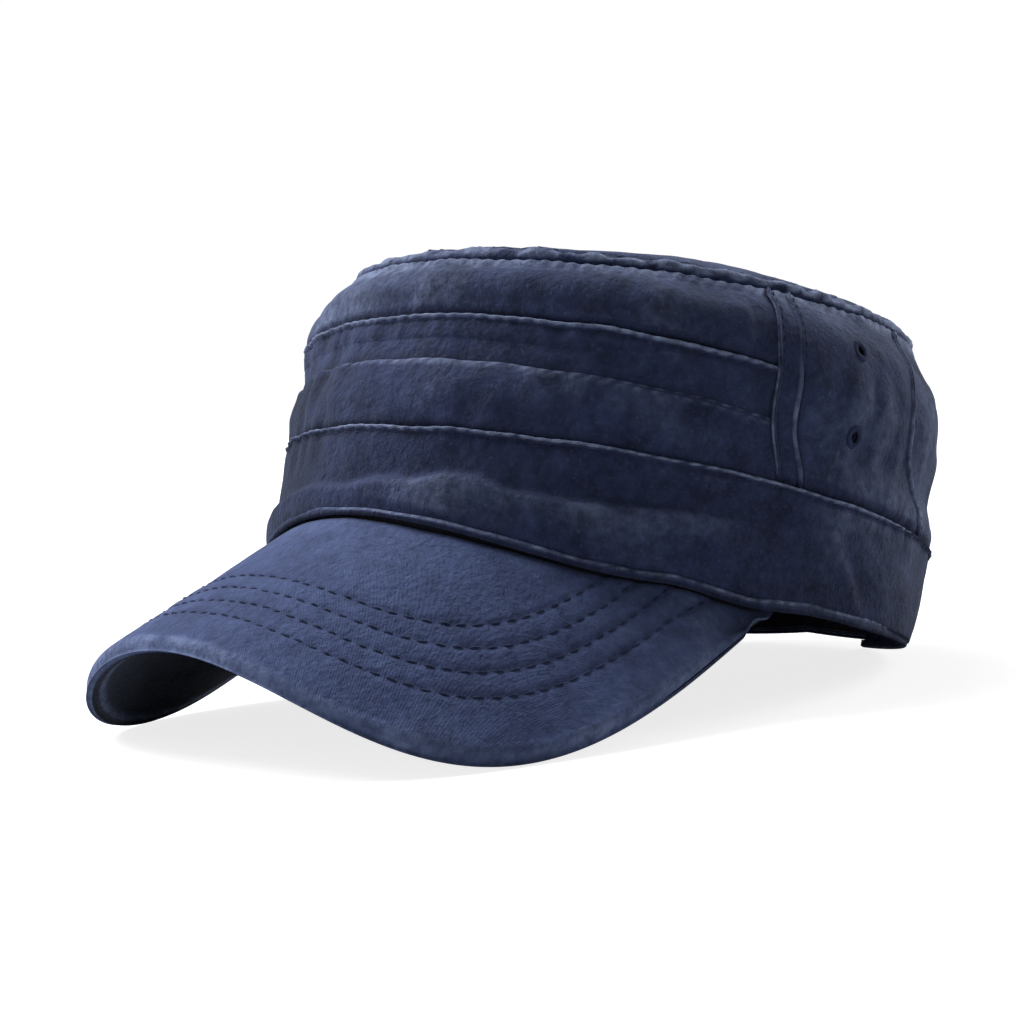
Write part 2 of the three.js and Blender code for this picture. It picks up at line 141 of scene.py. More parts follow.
bend_steps = np.linspace(0, PEAK_HALF_WIDTH * 1.2, 400)
bend_turns = (bend_steps - bend_steps**3 / (3 * PEAK_STRAIGHT_AT**2)) / PEAK_BEND_RADIUS
step_turns = (bend_turns[1:] + bend_turns[:-1]) / 2
bend_sideways = np.concatenate([[0], np.cumsum(np.cos(step_turns) * np.diff(bend_steps))])
bend_drop = np.concatenate([[0], np.cumsum(np.sin(step_turns) * np.diff(bend_steps))])


def peak_point(around, ahead):
    """A point of the rolled peak: around the bend, and ahead of the hem's front."""
    sideways = np.interp(np.abs(around), bend_steps, bend_sideways) * np.sign(around)
    drop = np.interp(np.abs(around), bend_steps, bend_drop)
    y = -FRONT[HEM] - ahead * math.cos(PEAK_PITCH) + drop * math.sin(PEAK_PITCH)
    z = PEAK_ROOT_HEIGHT - ahead * math.sin(PEAK_PITCH) - drop * math.cos(PEAK_PITCH)
    return np.stack([sideways, y, z], -1)


def peak_under(x, y):
    """Around, ahead and height of the rolled peak straight below or above a point."""
    around = np.interp(np.abs(x), bend_sideways, bend_steps) * np.sign(x)
    start = peak_point(around, np.zeros_like(around))
    ahead = (start[..., 1] - y) / math.cos(PEAK_PITCH)
    return around, ahead, start[..., 2] - ahead * math.sin(PEAK_PITCH)


def hem_height(angle):
    turn = turn_of(angle)
    t = np.maximum(0, (np.abs(turn) - HEM_FOLLOWS_PEAK) / (math.pi - HEM_FOLLOWS_PEAK))
    held = np.clip(turn, -HEM_FOLLOWS_PEAK, HEM_FOLLOWS_PEAK)
    own = peak_under(*oval(HEM, held))[2]
    even = peak_under(*oval(HEM, np.abs(held)))[2]
    start = own + (even - own) * smoothstep(t, 0, 0.7)
    dip = HEM_DIP * hump(np.abs(turn), DIP_ANGLE, DIP_WIDTH)
    return start + HEM_FALL * t + HEM_CLIMB * t * t - dip


def crown_point(angle, level):
    """The crown's plain surface: a smooth rib through the ovals at each angle."""
    angle, level = np.broadcast_arrays(np.asarray(angle, float), np.asarray(level, float))
    ovals = []
    for index in range(len(CROWN_LEVELS)):
        x, y = oval(index, angle)
        z = hem_height(angle) if index == HEM else HEIGHT[index] + SLOPE[index] * y
        ovals.append(np.stack([x, y, z], -1))
    ovals = [2 * ovals[0] - ovals[1], *ovals, 2 * ovals[-1] - ovals[-2]]
    ovals = np.stack(ovals)
    span = np.clip(np.floor(level), HEM, SHOULDER).astype(int)
    t = (level - span)[..., None]
    picks = tuple(np.indices(span.shape))
    before, start, end, after = (ovals[(span + k, *picks)] for k in range(4))
    leave, arrive = (end - before) / 2, (after - start) / 2
    blend = t * t * (3 - 2 * t)
    eased = (t**3 - 2 * t**2 + t) * leave + (t**3 - t**2) * arrive
    return start * (1 - blend) + end * blend + eased


def normal_of(point_at, u, v, step=0.01):
    """The outward normal of a surface that is given as a function of two numbers."""
    across = point_at(u + step, v) - point_at(u - step, v)
    up = point_at(u, v + step) - point_at(u, v - step)
    normal = np.cross(across, up)
    return normal / np.linalg.norm(normal, axis=-1, keepdims=True)


def crown_normal(angle, level):
    return normal_of(crown_point, angle, np.clip(level, 0.02, 4.98))


def rate_up(angle, level):
    """Millimetres up the rib for one whole level."""
    step = 0.05
    foot = np.clip(level, 0, TOP_EDGE - step)
    gap = crown_point(angle, foot + step) - crown_point(angle, foot)
    return np.linalg.norm(gap, axis=-1) / step


print("half lengths of the top edge:", FRONT[TOP_EDGE], REAR[TOP_EDGE], "mm")

# %% [markdown]
# ## From the upright crown to the shelf
# Put down, the cap leans back on its peak and hem. A rotation and a shift take the pattern there.
# The shift isn't typed in: the middle of a sewn eyelet is a known point of the pattern and a known
# piece of the frame, so the difference between the two is the shift.

# %% Place the pattern in the frame
EYELET_ANGLE = math.radians(86.8)
EYELET_LEVELS = {"lower": 2.18, "upper": 3.88}
CAD_CLOTH = 2


def lean_back(points):
    y = points[..., 1] * math.cos(LEAN) + points[..., 2] * math.sin(LEAN)
    z = points[..., 2] * math.cos(LEAN) - points[..., 1] * math.sin(LEAN)
    return np.stack([points[..., 0], y, z], -1)


def middle_of(node):
    low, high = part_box(node)
    return np.array((low + high) / 2) / MM


known = crown_point(EYELET_ANGLE, EYELET_LEVELS["upper"])
known = known - crown_normal(EYELET_ANGLE, EYELET_LEVELS["upper"]) * CAD_CLOTH / 2
SHIFT = middle_of("eyelet_left_upper") - lean_back(known)


def to_shelf(points):
    return (lean_back(points) + SHIFT) * MM


print("shift from the pattern to the frame, mm:", SHIFT.round(2))

# %% [markdown]
# ## Soft unevenness
# No sewn cloth is even. Smooth noise, worked out on a lattice of fixed random numbers, gives swells
# of any size. It reads places in space, so the swells run on across every seam.

# %% Smooth noise
LATTICE = 32


def soft_noise(points, cell, seed):
    """Smooth noise from about -1 to 1, with swells about one cell across."""
    table = np.random.default_rng(seed).uniform(-1, 1, (LATTICE,) * 3)
    scaled = points / cell + 100
    whole = np.floor(scaled).astype(int)
    t = scaled - whole
    t = t * t * (3 - 2 * t)
    total = 0
    for dx in (0, 1):
        for dy in (0, 1):
            for dz in (0, 1):
                corner = table[tuple(((whole + (dx, dy, dz)) % LATTICE)[..., k] for k in range(3))]
                weight = [t[..., k] if d else 1 - t[..., k] for k, d in enumerate((dx, dy, dz))]
                total = total + corner * weight[0] * weight[1] * weight[2]
    return total * 1.4


def layered_noise(points, layers):
    return sum(height * soft_noise(points, cell, seed) for height, cell, seed in layers)


# %% [markdown]
# ## Dents and folds
# The cap has been washed and pressed in the hand. A long soft crease runs round the front of the
# head band: the cloth stands out below it and falls back above it. Short slanting puckers hang
# under the upper seam, and soft upright folds cross the panels. Each is a small table or a wave
# along the seams, and all of them add up to one height above the plain crown.

# %% Relief of the crown
BAND_CREASE = np.array([
    # angle, level
    (-60, 0.34), (-26, 0.38), (-10, 0.40), (0, 0.35), (8, 0.45), (16, 0.46), (21, 0.55),
    (27, 0.57), (32, 0.49), (38, 0.50), (47, 0.53), (56, 0.58), (70, 0.62),
])
CROWN_SWELLS = (
    # height, size, seed
    (0.55, 26, 1), (0.3, 12, 2), (0.13, 5.5, 3), (0.06, 2.6, 4),
)
EDGE_FOLD_AT, BAND_FOLD_AT = 103.587, 150  # millimetres round the crown from the front
STITCH_PITCH = 4.3
CROWN_ROUND = 92  # a mean radius, which turns angles into lengths of cloth
LEVEL_TALL = 17  # and a mean height of one level


def arc_place(angle):
    """Millimetres round the crown from the front, for patterns that run round it."""
    return turn_of(angle) * CROWN_ROUND


def crease(distance, above, below, sharp):
    """A crease's profile: proud below the line and sunk above it."""
    side = -np.tanh(distance / sharp)
    return side * np.where(distance > 0, np.exp(-((distance / above) ** 2)),
                           np.exp(-((distance / below) ** 2)))


def crown_relief(angle, level):
    place = crown_point(angle, level)
    degrees = np.degrees(turn_of(angle))
    round_mm = arc_place(angle)
    rate = rate_up(angle, level)

    upright = 0.35 * soft_noise(place * (1, 1, 0.28), 7, 5)
    total = layered_noise(place, CROWN_SWELLS) + upright * smoothstep(level, 1.0, 1.4)

    line = np.interp(degrees, BAND_CREASE[:, 0], BAND_CREASE[:, 1])
    window = smoothstep(degrees, -75, -30) * (1 - smoothstep(degrees, 45, 80))
    total = total + 1.25 * window * crease((level - line) * rate, 9, 7, 1.0)

    slant = round_mm + 0.6 * (level - TUCK) * rate + 2.5 * soft_noise(place, 18, 6)
    in_strip = hump(level, 2.62, 0.32)
    pressed = hump(degrees, -12, 22) + 0.35 * smoothstep(degrees, 5, 30) * (degrees < 75)
    pucker = soft_noise(np.stack([slant, 0.3 * place[..., 2], place[..., 1] * 0], -1), 3.4, 13)
    total = total + 0.75 * in_strip * pressed * pucker

    for seam in (LOWER_SEAM, TUCK, UPPER_SEAM):
        near = np.exp(-np.abs(level - seam) * rate / 5)
        total = total + 0.4 * near * soft_noise(place * (1, 1, 0.5), 4.2, 7 + seam)

    left_folds = hump(degrees, -26, 24) * smoothstep(level, 0.5, 0.8) * (1 - smoothstep(level, 2, 2.2))
    total = total + 0.9 * left_folds * soft_noise(place * (1, 1, 0.18), 5.5, 11)
    edge_fold = smoothstep(level, 3.05, 3.3) * (1 - smoothstep(level, 4.1, 4.6))
    total = total + 0.5 * edge_fold * crease(round_mm - EDGE_FOLD_AT, 4, 5, 1.0)
    side_folds = hump(degrees, 88, 16) * smoothstep(level, 1.0, 1.5)
    total = total + 0.4 * side_folds * soft_noise(place * (1, 1, 0.15), 6.5, 12)

    diagonal = round_mm - BAND_FOLD_AT + 0.9 * (level - 0.4) * rate
    on_band_side = hump(level, 0.45, 0.35) * hump(degrees, 98, 14)
    total = total + 0.7 * on_band_side * crease(diagonal, 9, 9, 1.6)
    slack = 1.3 * hump(level, 1.25, 0.45) - 1.5 * hump(level, 4.3, 0.4)
    return total + slack * hump(degrees, 122, 20)


sample = crown_relief(np.linspace(-3, 3, 200)[:, None], np.linspace(0.1, 4.9, 80))
print("relief from", sample.min().round(2), "to", sample.max().round(2), "mm")

# %% [markdown]
# ## Edges of cloth
# A cloth edge is never just cut off. Where a piece laps over its neighbour it is folded back and
# sewn down, which leaves a narrow raised welt, worn pale, with a valley where the stitches pull.
# Where it goes under, it dips behind the other's welt. Each way is a short list of stations, from
# the very edge inwards: how far in, how far out, and the tone: pale wear on the crests, and painted
# shade in the valleys and behind the welts.

# %% Edge profiles


def rolled(radius, start, end, steps, rise=0.0, worn_and_shading=1.0):
    """Stations round a fold of cloth, from behind it (a negative angle) over its crest."""
    turns = np.radians(np.linspace(start, end, steps))
    # Wear pales the crest, and the cloth behind the fold is painted darker as shade; a negative share
    # paints the crest itself dark as shade.
    wear_and_shading = worn_and_shading * np.clip(np.sin(turns + 0.5), -0.4, 1)
    return np.stack([radius * (1 - np.cos(turns)), radius * np.sin(turns) + rise, wear_and_shading], 1)


def lapped(radius, worn_and_shading=1.0, rise=0.45, stitched=0.25):
    """A folded edge lapped over its neighbour, with the stitches' valley behind it."""
    # The stitches' valley is painted darker as shade.
    inner = [(1.55, 0.85 * rise, 0.05), (2.0, stitched, -0.55), (2.6, 0.8 * rise, -0.2),
             (3.8, 0.9 * rise, 0.05), (7.0, 0.4 * rise, 0.0), (11.0, 0.0, 0.0)]
    return np.vstack([rolled(radius, -80, 115, 9, rise=rise, worn_and_shading=worn_and_shading), inner])


STITCHED_LAP = lapped(0.62, worn_and_shading=1.25)
PLAIN_LAP = lapped(0.42, worn_and_shading=0.5, rise=-0.05, stitched=-0.05)
SOFT_LAP = lapped(0.9, worn_and_shading=0.45, rise=-0.62, stitched=-0.05)
SOFT_FOLD = np.vstack([rolled(1.5, -70, 90, 8, rise=-1.5, worn_and_shading=0.5), [(2.6, 0.04, 0.1)]])
# The roll's low fold is painted dark as shade, where it faces down towards the peak; the high fold is
# paled by wear.
HEM_FOLD_LOW = rolled(0.8, -80, 90, 7, rise=-0.8, worn_and_shading=-0.7)
HEM_FOLD_HIGH = rolled(0.8, -80, 90, 7, rise=-0.8, worn_and_shading=0.5)
BAND_FOOT = np.array([
    # in, out, painted shade
    (-1.3, -0.9, -0.1), (-0.4, -0.5, -0.1), (0.3, -0.25, -0.05), (1.2, -0.08, 0.0), (2.4, 0.0, 0.0),
])
SMALL_FOLD = rolled(0.6, -60, 90, 5, rise=-0.6, worn_and_shading=0.4)
TUCKED = np.array([
    # in, out, painted shade
    (-4.5, -1.9, -0.9), (-2.8, -1.8, -0.9), (-1.3, -1.6, -0.9), (-0.4, -1.3, -0.9),
    (0.2, -0.9, -0.9), (0.7, -0.4, -0.6), (1.3, -0.1, -0.2), (2.4, 0.0, 0.0),
])
SHALLOW = np.array([
    # in, out, painted shade
    (-1.3, -1.3, -0.3), (-0.4, -0.7, -0.3), (0.2, -0.3, -0.25), (0.8, -0.1, -0.15),
    (1.8, 0.0, 0.0),
])
PRESSED = np.array([
    # in, out, painted shade
    (-1.3, -1.3, -0.4), (-0.4, -0.8, -0.4), (0.3, -0.45, -0.35), (1.5, -0.35, -0.25),
    (3.6, -0.25, -0.2), (5.5, -0.1, -0.1), (8.0, 0.0, 0.0),
])
# The hidden edge is painted darker as shade under the fold that hangs over it.
HIDDEN = np.array([(-2.6, -0.5, -0.6), (-0.8, -0.1, -0.5), (0.4, 0.0, -0.3), (2.4, 0.0, 0.0)])
TOP_ROLL = np.vstack([rolled(0.9, -85, 100, 9, rise=-0.25, worn_and_shading=1.0),
                      [(2.6, 0.0, 0.35), (4.5, 0.0, 0.1)]])
CUT = np.array([(0.0, 0.0, 0.0)])


def stations(low_edge, high_edge, body):
    """Rows across a piece. A row lies at fixed + share * width, and edge rows add out, and wear and
    painted shade.
    """
    inner_low, inner_high = low_edge[-1, 0], high_edge[-1, 0]
    share = np.linspace(0, 1, body + 2)[1:-1]
    fixed = inner_low + (-inner_high - inner_low) * share
    plain = np.zeros(body)
    high = high_edge[::-1]
    return (
        np.concatenate([low_edge[:, 0], fixed, -high[:, 0]]),
        np.concatenate([np.zeros(len(low_edge)), share, np.ones(len(high))]),
        np.concatenate([low_edge[:, 1], plain, high[:, 1]]),
        np.concatenate([low_edge[:, 2], plain, high[:, 2]]),
    )


print("a lapped edge has", len(STITCHED_LAP), "stations")

# %% [markdown]
# ## From a flat grid to a piece of cloth
# Every panel starts as a flat grid, as a piece of cloth does. Its points are then moved onto the
# crown, and the Solidify modifier gives the cloth its thickness on the inner side. The distance
# round and up the piece is kept as its UV map, in millimetres, so that the weave follows the
# thread, and the wear of each point, with painted light and shade mixed in, is kept as an attribute.

# %% Cloth helpers


def coordinates(items, kind="co"):
    """The places of a mesh's vertices or faces, a row for each."""
    flat = np.empty(len(items) * 3)
    items.foreach_get(kind, flat)
    return flat.reshape(-1, 3)


def new_sheet(name, columns, rows):
    """A flat grid, and the row and column of each of its points."""
    bpy.ops.object.select_all(action="DESELECT")
    bpy.ops.mesh.primitive_grid_add(x_subdivisions=columns, y_subdivisions=rows, size=2)
    piece = bpy.context.object
    piece.name = name
    flat = coordinates(piece.data.vertices)
    column = np.rint((flat[:, 0] + 1) / 2 * columns).astype(int)
    row = np.rint((flat[:, 1] + 1) / 2 * rows).astype(int)
    return piece, row, column


def lay_out(piece, row, column, points, cloth_mm, wear_and_shading):
    """Moves a flat grid's points to a grid of places, and stores cloth coordinates, and wear with
    painted light and shade.
    """
    mesh = piece.data
    mesh.vertices.foreach_set("co", to_shelf(points[row, column]).ravel())
    corners = np.empty(len(mesh.loops), int)
    mesh.loops.foreach_get("vertex_index", corners)
    mesh.uv_layers[0].name = "cloth"
    mesh.uv_layers["cloth"].data.foreach_set("uv", cloth_mm[row, column][corners].ravel())
    attribute = mesh.attributes.new("wear_and_shading", "FLOAT", "POINT")
    attribute.data.foreach_set("value", wear_and_shading[row, column])
    mesh.update()


laid = {}  # where each piece's grid of points ended up, for sewing along it afterwards


def join_ends(piece):
    """Sews the first column of a ring to its last."""
    bpy.ops.object.mode_set(mode="EDIT")
    bpy.ops.mesh.select_all(action="SELECT")
    bpy.ops.mesh.remove_doubles(threshold=1e-6)
    bpy.ops.object.mode_set(mode="OBJECT")


def apply_modifier(piece, kind, **settings):
    modifier = piece.modifiers.new(kind.lower(), kind)
    for key, value in settings.items():
        setattr(modifier, key, value)
    bpy.context.view_layer.objects.active = piece
    bpy.ops.object.modifier_apply(modifier=modifier.name)


def finish_cloth(piece, slot, *nodes, thickness=CLOTH_THICK):
    if thickness:
        apply_modifier(piece, "SOLIDIFY", thickness=thickness * MM, offset=-1)
    bpy.ops.object.shade_smooth()
    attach(piece, "root")
    if nodes:
        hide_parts(*nodes)
    print(piece.name, len(piece.data.polygons), "faces")
    return piece


print("the cloth is", CLOTH_THICK, "mm thick")

# %% [markdown]
# A piece of the crown is laid in two moves. Its grid is first spread over its patch of the crown,
# with the rows of its edge profiles at fixed distances from its sides and the rest shared out
# evenly. Then every point is moved out by its edge's height and by the folds, and given its wear,
# with painted light and shade.

# %% Lay a piece on the crown
GRID_LEVEL = 2.5  # the level at which a piece's columns are first spread
EDGE_SHARE = 0.85  # the edge profiles are squeezed where they would take up more of a low piece
SEWING_DRIFT = 0.45  # how far a seam guided by hand strays, in millimetres
STITCH_DENT = 0.2


def as_function(edge):
    return edge if callable(edge) else lambda value: np.full_like(value, edge, dtype=float)


def width_at(left, right, level):
    """Millimetres across a piece at each level."""
    share = np.linspace(0, 1, 25)[:, None]
    angles = np.radians(left + (right - left) * share)
    ring = crown_point(angles, np.broadcast_to(level, angles.shape))
    return np.linalg.norm(np.diff(ring, axis=0), axis=-1).sum(0)


def crown_grid(left, right, low, high, across, upward, edge_mm, ring):
    """Angles and levels of a piece's grid, its distances x and y from two sides, and its size."""
    x_fixed, x_share = across
    y_fixed, y_share = upward
    middle = np.full(1, GRID_LEVEL)
    guess = np.radians(left(middle) + (right(middle) - left(middle)) * x_share)
    foot, head = low(guess), high(guess)
    tall = rate_up(guess, (foot + head) / 2) * (head - foot)
    hand_sewn = 0.35 * soft_noise(crown_point(guess, head), 10, 41)
    squeeze = np.minimum(1, EDGE_SHARE * tall / (edge_mm + 0.1))
    y = y_fixed[:, None] * squeeze + y_share[:, None] * (tall + hand_sewn)
    level = foot + (head - foot) * y / tall

    row_level = level[:, len(x_share) // 2]
    row_left, row_right = left(row_level), right(row_level)
    wide = width_at(row_left, row_right, row_level)[:, None]
    drift = SEWING_DRIFT * soft_noise(crown_point(np.radians(row_left), row_level), 11, 42)[:, None]
    x = x_fixed + x_share * wide + (0 if ring else drift * (1 - x_share))
    angle = np.radians(row_left[:, None] + (row_right - row_left)[:, None] * x / wide)
    return angle, level, x, y, wide, tall


def crown_piece(name, left, right, low, high, body, edges, base=0.0, bulge=0.0, relief=1.0,
                ring=False, taper=0.0, rubbed_and_shading=0.0, proudness=1.0):
    """A piece of the crown between two angles in degrees and two levels.

    body is its inner columns and rows, and edges its left, right, low and high edge profiles.
    Its base and the proudness of its low and high edges may change round the crown.
    """
    left_edge, right_edge, low_edge, high_edge = edges
    x_fixed, x_share, x_out, x_wear_and_shade = stations(left_edge, right_edge, body[0])
    y_fixed, y_share, y_out, y_wear_and_shade = stations(low_edge, high_edge, body[1])
    sides = tuple(map(as_function, (left, right, low, high)))
    base, proudness = map(as_function, (base, proudness))
    edge_mm = low_edge[-1, 0] + high_edge[-1, 0]
    angle, level, x, y, wide, tall = crown_grid(*sides, (x_fixed, x_share), (y_fixed, y_share),
                                                edge_mm, ring)

    inside = np.minimum(np.minimum(x, wide - x) if not ring else 99, np.minimum(y, tall - y))
    fade = smoothstep(inside, 0, 7)
    folds = crown_relief(angle, level) * relief
    swell = bulge * np.sin(np.pi * np.clip(y / tall, 0, 1)) * fade
    from_top = smoothstep(tall - y, 0.5, 6)
    uneven = 1 + 0.4 * soft_noise(crown_point(angle, level), 5, 43)
    x_ridge = np.where(x_out > 0, x_out * uneven * from_top, x_out)
    x_ridge = x_ridge * (1 - 0.5 * smoothstep(level, 2.9, 3.3))
    degrees = np.degrees(turn_of(angle))
    proud = proudness(degrees)
    out = base(degrees) + x_ridge + y_out[:, None] * proud + swell
    out = out + folds * (0.35 + 0.65 * smoothstep(inside, -1, 3))
    stitch_wave = np.cos(arc_place(angle) * 2 * math.pi / STITCH_PITCH + 1.5 * (tall - y))
    crest = np.clip(y_wear_and_shade, 0, 1)[:, None]
    out = out - STITCH_DENT * crest * stitch_wave
    if taper:
        kept = smoothstep(np.minimum(x, wide - x), 0, taper)
        out = out * kept - 1.6 * (1 - kept)
    points = crown_point(angle, level) + crown_normal(angle, level) * out[..., None]
    cloth_mm = np.stack([angle * CROWN_ROUND, level * LEVEL_TALL], -1)
    above = smoothstep(level, 2.9, 3.3)
    # Painted light and shade: the upper panel on the wearer's right front is painted paler for the
    # light it gets, and the strips below it are painted darker for shade.
    painted_light_and_shade = 0.45 * hump(degrees, -24, 30) * above
    low_on_front = 1 - smoothstep(level, 1.9, 2.1)
    painted_light_and_shade = painted_light_and_shade - (0.65 * hump(degrees, -24, 24) + 0.3 * hump(degrees, -34, 16)) * low_on_front
    # The side edges are paled by wear on their crests and painted darker as shade in their grooves.
    side_wear_and_shade = x_wear_and_shade * (0.15 + 0.85 * from_top) * (1 - 0.6 * above)
    # Proud folds are paled by wear, and sunk folds are painted darker as shade.
    fold_wear_and_shade = 0.22 * folds * smoothstep(inside, 0, 3)
    wear_and_shading = (rubbed_and_shading + painted_light_and_shade + side_wear_and_shade + y_wear_and_shade[:, None] * proud + fold_wear_and_shade) * uneven
    # Each stitch dent is painted darker as shade.
    wear_and_shading = np.clip(wear_and_shading - 0.4 * crest * stitch_wave, -1, 1)

    laid[name] = {"points": points, "normals": crown_normal(angle, level),
                  "from_high": tall - y, "from_left": x, "from_right": wide - x}
    piece, row, column = new_sheet(name, len(x_share) - 1, len(y_share) - 1)
    lay_out(piece, row, column, points, cloth_mm, wear_and_shading)
    if ring:
        join_ends(piece)
    return piece


# %% [markdown]
# ## The front, sides and back
# The upright seams lean with the crown: each is nearest to the front at its waist. The three front
# strips lap over each other downwards: the tuck strip's top edge lies over the upper panel, the
# middle panel's soft fold hangs over the tuck strip, and the head band's edge lies over them all.

# %% Seams


def upright_seam(angle, waist, curve, shift=0.0):
    return lambda level: angle + curve * (level - waist) ** 2 + shift


front_seam = upright_seam(69, 3.4, 0.9)
side_seam = upright_seam(69, 3.4, 0.9, 4.2)
rear_seam = upright_seam(102, 3.5, 2.0)


def mirrored(seam):
    return lambda level: -seam(level)


def sunk_strip(degrees):
    """The tuck strip lies below its neighbours, least on the wearer's left."""
    return -0.75 + 0.4 * smoothstep(degrees, 0, 45)


def settled_left(degrees):
    return 1 - 0.65 * smoothstep(degrees, 5, 50)


def proud_strip(degrees):
    return 0.55 - 0.5 * smoothstep(degrees, 0, 45)


# %% Sew the crown's panels
front = {"left": mirrored(front_seam), "right": front_seam}
crown_cloth = []

upper = crown_piece("front_upper_cloth", **front, low=UPPER_SEAM, high=TOP_EDGE, body=(280, 34),
                    edges=(SHALLOW, SHALLOW, TUCKED, TOP_ROLL), bulge=0.7)
crown_cloth.append(finish_cloth(upper, "crown_cloth", "front_upper_panel"))

# The sunk tuck strip is painted darker as shade.
tuck = crown_piece("front_tuck_cloth", **front, low=TUCK, high=UPPER_SEAM, body=(280, 14),
                   edges=(SHALLOW, SHALLOW, HIDDEN, STITCHED_LAP[:-1]), base=sunk_strip,
                   rubbed_and_shading=-0.15)
crown_cloth.append(finish_cloth(tuck, "crown_cloth", "front_tuck_panel"))

middle_strip = crown_piece("front_middle_cloth", **front, low=LOWER_SEAM, high=TUCK,
                           body=(280, 20), edges=(SHALLOW, SHALLOW, TUCKED, SOFT_FOLD),
                           base=proud_strip, bulge=0.7, proudness=settled_left)
crown_cloth.append(finish_cloth(middle_strip, "crown_cloth", "front_middle_panel"))

for hand, word in ((1, "left"), (-1, "right")):
    spans = [("strip", front_seam, side_seam, (6, 80), PLAIN_LAP[:-2], SHALLOW),
             ("side", side_seam, rear_seam, (64, 84), SOFT_LAP, PRESSED)]
    for kind, near, far, body, near_edge, far_edge in spans:
        turned = hand < 0
        piece = crown_piece(
            f"{kind}_cloth_{word}",
            left=mirrored(far) if turned else near,
            right=mirrored(near) if turned else far,
            low=LOWER_SEAM, high=TOP_EDGE, body=body,
            edges=((far_edge, near_edge) if turned else (near_edge, far_edge))
            + (TUCKED, TOP_ROLL),
            bulge=0.4 if kind == "side" else 0.0, rubbed_and_shading=0.06,
        )
        node = f"side_strip_{word}" if kind == "strip" else f"side_panel_{word}"
        crown_cloth.append(finish_cloth(piece, "crown_cloth", node))

back = crown_piece("back_cloth", left=rear_seam, right=lambda level: 360 - rear_seam(level),
                   low=LOWER_SEAM, high=TOP_EDGE, body=(250, 60),
                   edges=(SOFT_LAP, SOFT_LAP, TUCKED, TOP_ROLL), bulge=-1.2, rubbed_and_shading=0.2)
crown_cloth.append(finish_cloth(back, "crown_cloth", "back_panel"))

# %% [markdown]
# ## The head band, the hem roll and the strap
# The head band is one long strip round the head. Its top edge is folded under and stitched over the
# crown, its bottom edge disappears behind the hem roll, a narrow folded tube of the same cloth. At
# the back the band is cut away over a short strap.

# %% Sew the band
FRONT_BAND, SIDE_BAND, REAR_BAND = 33, 30, 23.5  # millimetres from the hem to the lower seam
ROLL_LEVEL = ROLL_HEIGHT / FRONT_BAND
STRAP_LEVEL = STRAP_HEIGHT / REAR_BAND
STRAP_EDGE_LEVEL = STRAP_EDGE_LIFT / REAR_BAND
strap_start = 180 - STRAP_HALF_SPAN


def drawn_up(angle):
    """How far the roll is drawn up over the peak and beside it, in levels."""
    away = np.abs(np.degrees(turn_of(angle)))
    return 0.042 + 0.022 * (1 - smoothstep(away, 76, 100))


def roll_base(degrees):
    """The roll stands proud round the front, and is tucked in under the band behind."""
    away = np.abs(degrees)
    return 0.6 - 0.65 * smoothstep(away, 72, 86) - 0.65 * smoothstep(away, 95, 118)


def band_foot(angle):
    away = np.abs(np.degrees(turn_of(angle)))
    cut_away = smoothstep(away, strap_start - 0.5, strap_start + 2.5)
    return ROLL_LEVEL + (STRAP_LEVEL - ROLL_LEVEL) * cut_away


def settled_behind(degrees):
    return 1 - 0.75 * smoothstep(np.abs(degrees), 96, 120)


band = crown_piece("head_band_cloth", left=-180, right=180, low=band_foot, high=LOWER_SEAM,
                   body=(700, 34), edges=(CUT, CUT, BAND_FOOT, STITCHED_LAP), bulge=0.5,
                   proudness=settled_behind, ring=True)
crown_cloth.append(finish_cloth(band, "crown_cloth", "head_band"))

roll = crown_piece("hem_roll_cloth", left=-strap_start, right=strap_start, low=drawn_up,
                   high=ROLL_LEVEL, body=(600, 2), edges=(CUT, CUT, HEM_FOLD_LOW, HEM_FOLD_HIGH),
                   base=roll_base, relief=0.5, taper=3.0, rubbed_and_shading=0.1)
crown_cloth.append(finish_cloth(roll, "crown_cloth", "hem_roll"))

strap = crown_piece("back_strap_cloth", left=strap_start - 1, right=181 + STRAP_HALF_SPAN,
                    low=STRAP_EDGE_LEVEL, high=STRAP_LEVEL + 0.03, body=(60, 24),
                    edges=(CUT, CUT, SMALL_FOLD, SMALL_FOLD), base=-0.9, relief=0.4)
crown_cloth.append(finish_cloth(strap, "crown_cloth", "back_strap"))

# %% [markdown]
# ## The top
# The top is an oval of cloth over a soft dome. Its seam allowance is turned inwards and stitched
# through, so a raised, rubbed ring runs just inside the edge. The grid's rows run from the edge to
# the middle, where they close in one point.

# %% Sew the top
TOP_SEAM_ALLOWANCE = 5.5
TOP_COLUMNS = 300
TOP_RIM = np.array([
    # in, out, wear and painted shade
    (-TOP_SEAM_ALLOWANCE, -0.9, -0.6), (-3.4, -1.3, -0.6), (-1.8, -1.5, -0.6),
    (-0.9, -1.4, -0.6), (-0.2, -0.95, -0.6), (0.4, -0.5, -0.5), (0.9, -0.05, 0.0),
    (1.4, 0.3, 0.6), (2.0, 0.5, 0.9), (2.7, 0.58, 1.0), (3.4, 0.48, 0.8), (4.1, 0.28, 0.5),
    (4.7, 0.05, 0.0), (5.2, -0.1, -0.3), (5.8, -0.05, -0.1), (6.6, 0.0, 0.1), (8.0, 0.0, 0.0),
])
TOP_SWELLS = (
    # height, size, seed
    (0.9, 30, 22), (0.35, 11, 23),
)


def top_point(angle, share):
    edge = crown_point(angle, np.full_like(share, TOP_EDGE))
    rise = (1 - np.clip(share, 0, 1) ** DOME_EDGE_POWER) ** (1 / DOME_ROUND_POWER)
    x, y = edge[..., 0] * share, edge[..., 1] * share
    return np.stack([x, y, HEIGHT[TOP_EDGE] + SLOPE[TOP_EDGE] * y + DOME_RISE * rise], -1)


